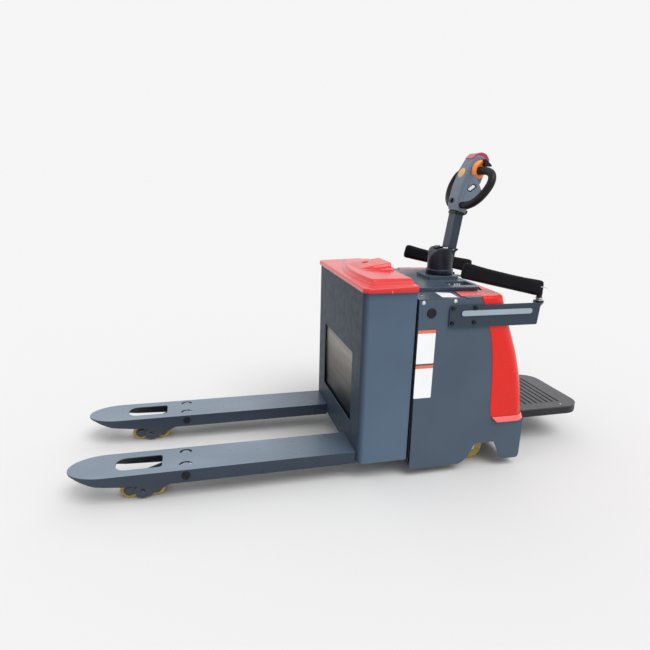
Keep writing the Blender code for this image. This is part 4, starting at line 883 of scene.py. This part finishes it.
def make_lid():
    """The moulded lid with its hollow underside, and a dark red disc in its finger hollow, painted shade
    standing for the latch hole.
    """
    seat = LID_LOW.z
    middle = Vector(((LID_LOW.x + LID_HIGH.x) / 2, 0))
    builder = bmesh.new()
    grid = lofted(builder, lid_rows())
    rim = grid[0] + [row[-1] for row in grid[1:-1]] + grid[-1][::-1] + [row[0] for row in grid[-2:0:-1]]
    foot = [builder.verts.new((corner.co.x, corner.co.y, seat)) for corner in rim]
    inner = []
    for corner in rim:
        side = 1 if (corner.co.xy - middle).x > 0 else -1
        inner.append((corner.co.x - LID_WALL * side, corner.co.y * (1 - LID_WALL / LID_HIGH.y)))
    ledge = [builder.verts.new((x, y, seat)) for x, y in inner]
    ceiling = [builder.verts.new((x, y, seat + 0.013)) for x, y in inner]
    for first, second in ((rim, foot), (foot, ledge), (ledge, ceiling)):
        join_rows(builder, first, second)
    builder.faces.new(ceiling)
    lid = added("lid_moulding", mesh_of(builder, "lid"), red_top, "lid")
    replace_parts(lid, "battery_lid")
    crisp(lid)

    def in_hollow(u, v, w):
        return HOLLOW_X + 0.0118 * u, HOLLOW_Y + 0.0165 * v, BOW_LEVEL + 0.0005 + w

    # A dark disc, not a hole: painted shade for the latch hole's depth.
    plug = turned([(0, 0.0015), (0.8, 0.0012), (0.97, 0.0), (0.9, -0.002), (0, -0.002)], in_hollow, 28)
    added("lid_latch_hole", plug, hole_shade_red, "lid")


# ---------------------------------------------------------------- red rear cover

def cover_ring(key, z, inset):
    """A U of points from the left seam, round the rear corners, to the right seam."""
    front = smooth_between(COVER_SEAM, key, 0.006)
    rear = smooth_between(COVER_REAR, key, 0.02) - inset
    half = SIDE_Y + 0.0005 - inset
    radius = 0.052 + 0.018 * blended(key, 0.3, 0.75) - inset * 0.5
    straight = rear - radius - front
    left = [(front, -half, z), (front + 0.004, -half, z)]
    left += [(front + straight * share, -half, z) for share in (0.3, 0.6, 0.9)]
    arc = 14
    for step in range(arc + 1):
        angle = pi / 2 * step / arc
        left.append((rear - radius + radius * sin(angle), -half + radius - radius * cos(angle), z))
    bow = 0.003
    for share in (0.25, 0.5, 0.75):
        left.append((rear + bow * share * (2 - share), (-half + radius) * (1 - share), z))
    return left + [(rear + bow, 0, z)] + [(x, -y, z) for x, y, _ in reversed(left)]


def cover_rows():
    """The skin's rows: up from the rolled foot, round the top edge, and in over the top."""
    heights = [z for z, _ in COVER_FLARE] + [0.27 + 0.02 * n for n in range(26)] + [0.778, COVER_SHOULDER]
    rows = [cover_ring(z, z, -between(COVER_FLARE, z)) for z in heights]
    arc = 7
    for step in range(1, arc + 1):
        angle = pi / 2 * step / arc
        rise, inset = 0.014 * sin(angle), 0.015 * (1 - cos(angle))
        rows.append(cover_ring(COVER_SHOULDER, COVER_SHOULDER + rise, inset))
    return rows + [cover_ring(COVER_SHOULDER, COVER_TOP, inset) for inset in (0.02, 0.026)]


def make_cover():
    """The moulded shell, whose top runs forward on both sides of the console."""
    builder = bmesh.new()
    grid = lofted(builder, cover_rows())
    mouth = [builder.verts.new((x, y, COVER_TOP)) for x, y in (
        (0.47, 0.262), (0.606, 0.252), (0.632, 0.175), (0.632, -0.175), (0.606, -0.252), (0.47, -0.262))]
    right, left = [builder.verts.new((0.452, y, COVER_TOP)) for y in (0.352, -0.352)]
    builder.faces.new(grid[-1] + [right] + mouth + [left])
    cover = added("rear_cover_moulding", mesh_of(builder, "cover"), red, "chassis")
    wall = cover.modifiers.new("wall", "SOLIDIFY")
    wall.thickness = COVER_SHEET
    wall.offset = -1.0
    crisp(cover)
    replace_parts(cover, "rear_cover")


def make_cover_foot():
    """The glossy roll round the cover's foot, coloured a paler pink red as a painted highlight."""
    rows = [cover_ring(z, z, -out) for z, out in (
        (0.2275, 0.0012), (0.2268, 0.006), (0.2285, 0.01), (0.233, 0.0112), (0.24, 0.01),
        (0.247, 0.0068), (0.252, 0.0034), (0.2535, 0.0014))]
    builder = bmesh.new()
    grid = lofted(builder, rows, closed=True)
    for end in (0, -1):
        builder.faces.new([row[end] for row in grid])
    crisp(added("rear_cover_foot", mesh_of(builder, "cover_foot"), red_foot_highlight, "chassis"), 50.0)


# ---------------------------------------------------------------- tiller

in_head = carried(HEAD_AXES, upright)


def web_point(across, up, back):
    """The webs slant forward from the grips to the body's front edges."""
    return HEAD_AXES @ Vector((back + 0.3 * (abs(across) - 0.128), across, up))


def make_head():
    """The moulded housing: a tapered body, webs out to the grips, and a skirt over the tube."""
    body = rounded([(-0.026, -0.004, 0.004), (-0.04, 0.02, 0.03), (-0.052, 0.1, 0.06),
                    (-0.051, 0.18, 0.06), (-0.043, 0.226, 0.02), (-0.028, 0.253, 0.016),
                    (0.012, 0.256, 0.024), (0.037, 0.232, 0.024), (0.038, 0.15, 0.04),
                    (0.026, 0.08, 0.03), (0.026, -0.004, 0.004)], 5)
    neck = plate(-0.031, -0.036, 0.031, 0.036, 0.006)
    web = [(0.026, 0.026), (0.086, 0.04), (0.134, 0.078), (0.14, 0.092), (0.12, 0.108), (0.036, 0.186)]
    slot = rounded([(0.044, 0.094, 0.006), (0.072, 0.086, 0.006), (0.1, 0.116, 0.006),
                    (0.072, 0.126, 0.006)])
    solids = [slab(body, -HEAD_HALF, HEAD_HALF, in_head),
              slab(neck, -0.002, 0.06, lambda u, v, w: HEAD_AXES @ Vector((u * 0.82, v, w)))]
    solids += [slab(mirrored(web, sign), 0.003, 0.012, web_point) for _, sign in SIDES]
    cuts = [slab(mirrored(slot, sign), -0.03, 0.05, web_point) for _, sign in SIDES]
    head = fused("tiller_head_shell", solids, head_plastic, "tiller", voxel=0.0022, smoothing=5, keep=0.55,
                 cuts=cuts)
    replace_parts(head, "tiller_head")


def make_web_windows():
    """A pale insert in a black seal, in each web's slot."""
    for side, sign in SIDES:
        for name, surface, inset, low, high in (("seal", black_plastic, 0.0, 0.004, 0.01),
                                                ("window", paper, 0.0055, 0.003, 0.0108)):
            outline = rounded([(0.045 + inset, 0.0945, 0.005), (0.071, 0.087 + inset, 0.005),
                               (0.098 - inset, 0.1155, 0.005), (0.072, 0.125 - inset, 0.005)])
            fitting(f"web_{name}_{side}", mirrored(outline, sign), low, high, web_point, surface, "tiller",
                    0.0008)


def make_grips():
    """The looped sleeves, with a flange where each end meets the head."""
    for side, sign in SIDES:
        line = spline([(back, sign * across, up) for back, across, up in GRIP_LINE], 5)
        count = len(line) - 1
        radii = [GRIP_RADIUS * (1.0 + 0.05 * sin(pi * n / count)) for n in range(count + 1)]
        sleeve = swept([HEAD_AXES @ point for point in line], radii, 20)
        grip = added("grip_sleeve_" + side, sleeve, grip_rubber, "tiller")
        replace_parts(grip, "grip_" + side)
        for place, index, step, radius in (("upper", 3, 1, 0.0185), ("lower", count - 4, -1, 0.018)):
            middle = line[index]
            ahead = (line[index + step] - middle).normalized()
            path = [HEAD_AXES @ (middle + ahead * shift) for shift in (0, 0.002, 0.006, 0.008)]
            cuff = swept(path, [radius * 0.93, radius, radius, radius * 0.93], 24)
            added(f"grip_cuff_{side}_{place}", cuff, grip_rubber, "tiller")


def make_collars():
    """The orange throttle housings round the grips' upper roots: a tapered ring, open towards the paddle."""
    count = 22
    radii = [0.0045 + 0.0085 * sin(pi * min(n / count * 1.05, 1.0)) ** 0.7 for n in range(count + 1)]
    for side, sign in SIDES:
        line = []
        for n in range(count + 1):
            angle = radians(58 + 262 * n / count)
            back, up = COLLAR_BACK + 0.0285 * cos(angle), COLLAR_UP + 0.033 * sin(angle)
            line.append(HEAD_AXES @ Vector((back, sign * (HEAD_HALF + 0.008), up)))
        added("throttle_collar_" + side, swept(line, radii, 14), orange_plastic, "tiller")

        def on_side(u, v, w):
            across = sign * (HEAD_HALF - 0.0025 + w)
            return HEAD_AXES @ Vector((COLLAR_BACK + u, across, COLLAR_UP + v * 1.12))

        disc = turned([(0, 0.0), (0.028, 0.0), (0.03, 0.004), (0.03, 0.012), (0.026, 0.0155), (0, 0.016)],
                      on_side, 32)
        added("throttle_housing_" + side, disc, orange_plastic, "tiller")


def make_throttle():
    """Wedge-shaped thumb paddles on one spindle through the head."""
    outline = rounded([(-0.01, 0.246, 0.005), (0.046, 0.226, 0.004), (0.006, 0.211, 0.006)], 5)
    for side, sign in SIDES:
        fitting("thumb_paddle_" + side, outline, sign * 0.0475, sign * 0.074, in_head, black_plastic,
                "throttle", 0.003, 3)
    axle = [HEAD_AXES @ Vector((0.008, across, 0.228)) for across in (-0.06, -0.03, 0.03, 0.06)]
    shaft = added("throttle_spindle", swept(axle, 0.006, 18), black_plastic, "throttle")
    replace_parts(shaft, "throttle")


def make_belly_button():
    """The translucent cap that wraps over the head's end, from its front face to its back face."""
    outside = [(-0.046, 0.23, 0.004), (-0.033, 0.2575, 0.014), (-0.012, 0.2705, 0.03),
               (0.012, 0.2705, 0.02), (0.0345, 0.255, 0.014), (0.0425, 0.23, 0.003)]
    inside = [(0.0385, 0.229, 0.002), (0.029, 0.245, 0.01), (0.01, 0.256, 0.01),
              (-0.028, 0.2515, 0.012), (-0.0415, 0.229, 0.002)]
    half = HEAD_HALF - 0.004
    cap = fitting("belly_cap", rounded(outside + inside, 5), -half, half, in_head, clear_magenta,
                  "belly_button", 0.0024, 3)
    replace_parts(cap, "belly_button")


def make_horn():
    """The oval horn button on the head's front."""
    def on_front(u, v, w):
        return HEAD_AXES @ Vector((-0.05 - w, 0.028 * u, 0.16 + 0.024 * v))

    cap = turned([(0, 0.0058), (0.45, 0.0054), (0.75, 0.0042), (0.92, 0.0022), (1.0, -0.001),
                  (0.96, -0.003), (0, -0.003)], on_front, 36)
    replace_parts(added("horn_cap", cap, horn_plastic, "horn_button"), "horn_button")


def make_head_trim():
    """The head's small lower hook, and the collar and bracket round the tube's end."""
    end = TUBE_LENGTH
    hook = rounded([(-0.056, 0.026, 0.002), (-0.044, 0.02, 0.002), (-0.04, 0.034, 0.002),
                    (-0.05, 0.046, 0.002)], 3)
    bracket = rounded([(0.02, end - 0.02, 0.004), (0.04, end - 0.01, 0.006),
                       (0.044, end + 0.008, 0.004), (0.018, end + 0.004, 0.002)])
    fitting("front_hook", hook, -0.01, 0.01, in_head, black_plastic, "tiller", 0.0015)
    fitting("tube_collar", plate(-0.0245, -0.0385, 0.0245, 0.0385, 0.008, 5), end - 0.016, end - 0.002,
            carried(TILLER_AXES), black_plastic, "tiller", 0.002)
    fitting("neck_bracket", bracket, -0.024, 0.024, carried(TILLER_AXES, upright), black_plastic, "tiller",
            0.002)


# ---------------------------------------------------------------- the hood at the tiller's foot

def round_hood(profile):
    return turned(profile, about(HOOD_X, 0, 0), 56)


def make_hood():
    """A round body rounded off over the front, with an opening for the tube."""
    body = round_hood([(0, HOOD_PLINTH - 0.004), (HOOD_RADIUS, HOOD_PLINTH - 0.004),
                       (HOOD_RADIUS, HOOD_TOP - 0.06), (HOOD_RADIUS - 0.0008, HOOD_TOP + 0.02),
                       (0, HOOD_TOP + 0.02)])
    crown = [(HOOD_FRONT - 0.01, HOOD_FOOT)]
    arc = 14
    for step in range(arc + 1):
        angle = pi / 2 * step / arc
        crown.append((HOOD_FRONT - 0.0005 + 0.04 * (1 - cos(angle)), HOOD_TOP - 0.06 * (1 - sin(angle))))
    crown += [(HOOD_REAR - 0.026, HOOD_TOP), (HOOD_REAR - 0.012, HOOD_TOP - 0.01),
              (HOOD_REAR + 0.003, HOOD_TOP - 0.032), (HOOD_REAR + 0.003, HOOD_FOOT)]
    mouth = rounded([(HOOD_X - 0.022, HOOD_FOOT + 0.02, 0.004), (HOOD_X + 0.1, HOOD_FOOT + 0.02, 0),
                     (HOOD_X + 0.1, HOOD_TOP + 0.05, 0), (HOOD_X - 0.018, HOOD_TOP + 0.05, 0)])
    hood = added("tiller_hood", body, boot_plastic, "drive_unit")
    tools = [carved(hood, slab(crown, -0.08, 0.08, upright), "INTERSECT"),
             carved(hood, slab(mouth, -0.0372, 0.0372, upright), "DIFFERENCE")]
    settled(hood, tools)
    crisp(hood, 25.0, 0.0022, 3)
    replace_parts(hood, "tiller_boot")


def make_hood_rings():
    """The hood's round plinth, and the dark bead on its edge."""
    low, high = HOOD_FOOT, HOOD_PLINTH
    ring = round_hood([(0.04, low), (0.062, low), (0.063, low + 0.0012), (0.0632, high - 0.0052),
                       (0.062, high - 0.0018), (0.0597, high), (0.0582, high + 0.0012),
                       (0.04, high + 0.0012)])
    added("hood_ring", ring, boot_plastic, "drive_unit")
    bead = round_hood([(0.06, high - 0.001), (0.0628, high - 0.0022), (0.064, high - 0.0042),
                       (0.0628, high - 0.0062), (0.06, high - 0.0074)])
    added("hood_bead", bead, bracket_paint, "drive_unit")


def make_hood_trim():
    """Lips and clips on both sides of the opening, a screw in each lip, and a small visor in front."""
    top, rear = HOOD_TOP, HOOD_REAR
    lip = rounded([(rear - 0.034, top - 0.006, 0.002), (rear - 0.02, top - 0.026, 0.003),
                   (rear + 0.006, top - 0.007, 0.003), (rear + 0.006, top, 0.003),
                   (rear - 0.034, top, 0.002)])
    clip = rounded([(HOOD_X - 0.01, top, 0.002), (HOOD_X + 0.014, top, 0.002),
                    (HOOD_X + 0.014, top + 0.006, 0.003), (HOOD_X - 0.01, top + 0.006, 0.003)])
    visor = rounded([(HOOD_X - 0.036, top - 0.001, 0.001), (HOOD_X - 0.018, top - 0.001, 0.001),
                     (HOOD_X - 0.014, top + 0.01, 0.002), (HOOD_X - 0.034, top + 0.004, 0.002)])
    for side, sign in SIDES:
        inner = sign * 0.0385
        fitting("hood_lip_" + side, lip, inner, sign * 0.044, upright, boot_plastic, "drive_unit", 0.0015)
        fitting("hood_clip_" + side, clip, inner, sign * 0.0425, upright, bright_steel, "drive_unit", 0.001)
        screw_head("hood_screw_" + side, (rear - 0.018, sign * 0.044, top - 0.005), (0, sign, 0),
                   0.0036, "drive_unit", bright_steel)
    fitting("hood_visor", visor, -0.022, 0.022, upright, black_plastic, "drive_unit", 0.0012)


# ---------------------------------------------------------------- side guards

def guard_axes(side):
    hinge = Matrix.Translation(joint_place("guard_swing_" + side))
    return hinge @ Matrix.Rotation(pi, 4, "Z") @ Matrix.Rotation(-GUARD_RISE, 4, "Y")


def swell(pad, cap):
    """Blow a closed skin up with cloth pressure, and keep each point within a short way of its start."""
    scene = bpy.context.scene
    start = [vertex.co.copy() for vertex in pad.data.vertices]
    cloth = pad.modifiers.new("cloth", "CLOTH")
    settings = cloth.settings
    settings.quality = 5
    settings.use_pressure = True
    settings.uniform_pressure_force = 4.0
    settings.tension_stiffness = 25.0
    settings.compression_stiffness = 25.0
    settings.bending_stiffness = 2.0
    settings.effector_weights.gravity = 0.0
    for number in range(1, SWELL_FRAMES + 1):
        scene.frame_set(number)
    graph = bpy.context.evaluated_depsgraph_get()
    moved = pad.evaluated_get(graph).to_mesh()
    ends = [vertex.co.copy() for vertex in moved.vertices]
    pad.evaluated_get(graph).to_mesh_clear()
    pad.modifiers.remove(cloth)
    scene.frame_set(1)
    for vertex, first, last in zip(pad.data.vertices, start, ends):
        shift = last - first
        if shift.length > cap:
            shift *= cap / shift.length
        vertex.co = first + shift


def make_guard_pad(side):
    """The padded sleeve, blown up by a cloth run from a slightly smaller block."""
    inset = 0.0035
    half = 0.011
    length, height = GUARD_LENGTH - inset, GUARD_HEIGHT - inset
    outline = rounded([(-0.016 + inset, inset, 0.008), (length, inset, 0.014),
                       (length, height, 0.016), (0.001 + inset, height, 0.016)], 6)
    block = slab(outline, -half, half, carried(guard_axes(side), upright))
    pad = added("guard_cushion_" + side, block, pad_vinyl, "guard_" + side)
    remeshed(pad, 0.0045)
    soft = pad.modifiers.new("soft", "SMOOTH")
    soft.iterations = 3
    settled(pad)
    swell(pad, 0.005)
    finer = pad.modifiers.new("finer", "SUBSURF")
    finer.levels = 1
    finer.render_levels = 1
    settled(pad)
    shade_smooth(pad)
    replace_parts(pad, "guard_pad_" + side)


def make_guard_trim(side):
    """The strap's bright end in the pad's slit, and the spring and washers on the hinge pin."""
    fitting("guard_strap_end_" + side, plate(-0.017, 0.044, 0.018, 0.0475, 0.001, 3), -0.0146, 0.0146,
            carried(guard_axes(side), upright), bright_steel, "guard_" + side, 0.0006)
    hinge = joint_place("guard_swing_" + side)
    low = hinge.z - 0.0182
    coil = []
    steps = 14
    for n in range(steps * 2 + 1):
        turn = 2 * pi * n / steps
        rise = 0.0016 + 0.0045 * n / steps
        coil.append((hinge.x + 0.0135 * cos(turn), hinge.y + 0.0135 * sin(turn), low + rise))
    added("guard_spring_" + side, swept(coil, 0.0014, 8), bright_steel, "chassis")
    washers = ((0.0, 0.0215, black_plastic), (0.0134, 0.017, bright_steel))
    for n, (rise, radius, surface) in enumerate(washers):
        washer = turned([(0.0122, 0.0), (radius, 0.0), (radius + 0.0008, 0.0008), (radius + 0.0008, 0.0022),
                         (radius, 0.003), (0.0122, 0.003), (0.0122, 0.0)],
                        about(hinge.x, hinge.y, low + rise), 28)
        added(f"guard_washer_{side}_{n}", washer, surface, "chassis")


def make_guards():
    for side, _ in SIDES:
        make_guard_pad(side)
        make_guard_trim(side)


# ---------------------------------------------------------------- labels, screws and trim

def make_labels():
    """Vinyl plates with a coloured header band and no lettering, and a plain one on the deck."""
    header = 0.014
    for side, sign in SIDES:
        placed = outward(0, 0, sign, SIDE_Y + CLEARANCE)
        for name, (u0, v0), (u1, v1) in (("warning_plate_", (0.26, 0.525), (0.338, 0.669)),
                                         ("load_plate_", (0.26, 0.372), (0.338, 0.518))):
            split = v1 - header
            lower = rounded([(u0, v0, 0.003), (u1, v0, 0.003), (u1, split, 0), (u0, split, 0)])
            upper = rounded([(u0, split, 0), (u1, split, 0), (u1, v1, 0.003), (u0, v1, 0.003)])
            added(name + side, slab(lower, 0, LABEL_SHEET, placed), paper, "chassis", smooth=False)
            added(name + side + "_band", slab(upper, 0, LABEL_SHEET, placed), band, "chassis", smooth=False)
    outline = rounded([(0.383, -0.252, 0.003), (0.445, -0.27, 0.003), (0.435, -0.352, 0.003),
                       (0.371, -0.345, 0.003)])
    low = DECK_TOP + CLEARANCE
    added("deck_label", slab(outline, low, low + LABEL_SHEET), paper, "chassis", smooth=False)


def make_panel_trim(side, sign):
    """A side panel's screws and plug, its guard bracket's pressed rib, painted paler as a highlight, and a
    bolt on the deck.
    """
    for n, (x, z) in enumerate(((0.275, 0.783), (0.414, 0.785))):
        screw_head(f"panel_screw_{side}_{n}", (x, sign * (SIDE_Y + 0.0008), z), (0, sign, 0), 0.005,
                   "chassis", bright_steel, steel)
    cap = turned([(0, 0.0024), (0.013, 0.0024), (0.0145, 0.0034), (0.0195, 0.003), (0.021, 0.0), (0, 0.0)],
                 outward(0.313, 0.739, sign, SIDE_Y + CLEARANCE), 36)
    added("panel_plug_" + side, cap, black_plastic, "chassis")
    # The rib's paler paint is a painted highlight.
    fitting("bracket_rib_" + side, plate(0.441, 0.7245, 0.767, 0.7475, 0.011, 8), 0, 0.0006,
            outward(0, 0, sign, BRACKET_FACE + 0.0001), rib_highlight, "chassis", 0.0002)
    screw_head("deck_bolt_" + side, (0.298, sign * 0.3, DECK_TOP + 0.001), (0, 0, 1), 0.0062,
               "chassis", dark_steel, bright_steel)


def make_platform_screws(side, sign):
    y = sign * (PLATFORM_HIGH.y - 0.028)
    for n, x in enumerate((PLATFORM_LOW.x + 0.05, PLATFORM_HIGH.x - 0.11)):
        screw_head(f"platform_screw_{side}_{n}", (x, y, PLATFORM_HIGH.z + CLEARANCE), (0, 0, 1), 0.0048,
                   "platform", bright_steel)


def make_deck_ledge(side, sign):
    """The narrow sheet ledge between the cover's top and the side panel."""
    wall = SIDE_Y - 0.001
    outline = rounded([(0.463, 0.346, 0.004), (0.54, 0.346, 0.001), (0.535, wall, 0.001),
                       (0.463, wall, 0.004)])
    fitting("deck_ledge_" + side, [(x, sign * y) for x, y in outline], DECK_TOP + 0.0004, DECK_TOP + 0.0032,
            flat, deck_paint, "chassis", 0.001)


def make_axle_ring(side, sign):
    """A raised ring round the arm axle, on the fork's side."""
    axle = joint_place("arm_turn_" + side)
    ring = turned([(0.0085, 0.0), (0.009, 0.0012), (0.0112, 0.0016), (0.0132, 0.001), (0.0136, 0.0),
                   (0.0085, 0.0)], outward(axle.x, axle.z, sign, FORK_FACE - 0.0002), 36)
    added("axle_ring_" + side, ring, arm_paint, "carriage")


def make_trim():
    for side, sign in SIDES:
        make_panel_trim(side, sign)
        make_platform_screws(side, sign)
    for side, sign in SIDES:
        make_deck_ledge(side, sign)
        make_axle_ring(side, sign)


def make_instruments():
    """The sunk tray's fittings: a charge display, marks on its wall, three lamps and an hour counter."""
    fitting("charge_display", plate(0.536, -0.184, 0.558, -0.107, 0.004), TRAY_FLOOR + 0.0003,
            TRAY_FLOOR + 0.012, flat, display_glass, "chassis", 0.0015)
    for n, x in enumerate((0.506, 0.52, 0.548, 0.56, 0.572)):
        fitting(f"tray_mark_{n}", plate(x, 0.79, x + 0.008, 0.801, 0.001, 3), -0.103, -0.1022, upright,
                paper, "chassis", 0.0003)
    dome = [(0, 0.005), (0.0026, 0.0044), (0.0038, 0.0022), (0.0044, 0.0004), (0.006, 0.0), (0, 0.0)]
    for n, y in enumerate((-0.172, -0.158, -0.12)):
        lamp = turned(dome, about(0.498, y, TRAY_FLOOR + 0.0004), 20)
        added(f"tray_lamp_{n}", lamp, bright_steel if n else orange_plastic, "chassis")
    bezel = [(0, 0.0022), (0.012, 0.0022), (0.0135, 0.0034), (0.015, 0.0022), (0.0152, 0.0), (0, 0.0)]
    counter = turned(bezel, about(0.546, -0.146, TRAY_FLOOR + 0.012), 32)
    added("hour_counter", counter, bright_steel, "chassis")


# ---------------------------------------------------------------- studio

def make_floor():
    """A pale floor that returns the dome's own brightness, so the two meet without a line."""
    builder = bmesh.new()
    bmesh.ops.create_grid(builder, x_segments=2, y_segments=2, size=400.0)
    ground = bpy.data.objects.new("studio_floor", mesh_of(builder, "floor"))
    bpy.context.scene.collection.objects.link(ground)
    ground.location.z = -FLOOR_DROP
    albedo = BACKDROP / (BACKDROP + SUN * SUN_LEAN.z / pi)
    pale = Surface("studio_white", roughness=1.0)
    pale.colour(pale.mottled((albedo * 0.999,) * 3, (albedo * 1.001,) * 3, 0.6, 2.0))
    pale.gloss(0.0)
    ground.data.materials.append(pale.material)


def make_lights():
    """An even white dome, and one broad sun."""
    world = bpy.data.worlds.new("studio")
    world.use_nodes = True
    background = world.node_tree.nodes["Background"]
    background.inputs["Color"].default_value = (1.0, 1.0, 1.0, 1.0)
    background.inputs["Strength"].default_value = BACKDROP
    bpy.context.scene.world = world
    lamp = bpy.data.lights.new("studio_sun", "SUN")
    lamp.energy = SUN
    lamp.angle = SUN_SPREAD
    holder = bpy.data.objects.new("studio_sun", lamp)
    bpy.context.scene.collection.objects.link(holder)
    holder.rotation_euler = SUN_LEAN.to_track_quat("Z", "Y").to_euler()


def make_camera():
    """On the truck's left, ahead of the forks' roots, looking down and a little to the rear."""
    lens = bpy.data.cameras.new("camera")
    lens.lens = LENS_MM
    lens.sensor_width = SENSOR_MM
    camera = bpy.data.objects.new("camera", lens)
    bpy.context.scene.collection.objects.link(camera)
    turn = Matrix.Rotation(-CAMERA_YAW, 4, "Z") @ Matrix.Rotation(pi / 2 - CAMERA_PITCH, 4, "X")
    turn = turn @ Matrix.Rotation(CAMERA_ROLL, 4, "Z")
    camera.matrix_world = Matrix.Translation(DATUM + CAMERA_PLACE) @ turn
    bpy.context.scene.camera = camera


bpy.context.scene.view_settings.view_transform = "Standard"
make_camera()
make_floor()
make_lights()
dress_parts()
dress_wheels()
make_lid()
make_cover()
make_cover_foot()
make_head()
make_web_windows()
make_grips()
make_collars()
make_throttle()
make_belly_button()
make_horn()
make_head_trim()
make_hood()
make_hood_rings()
make_hood_trim()
make_guards()
make_labels()
make_trim()
make_instruments()
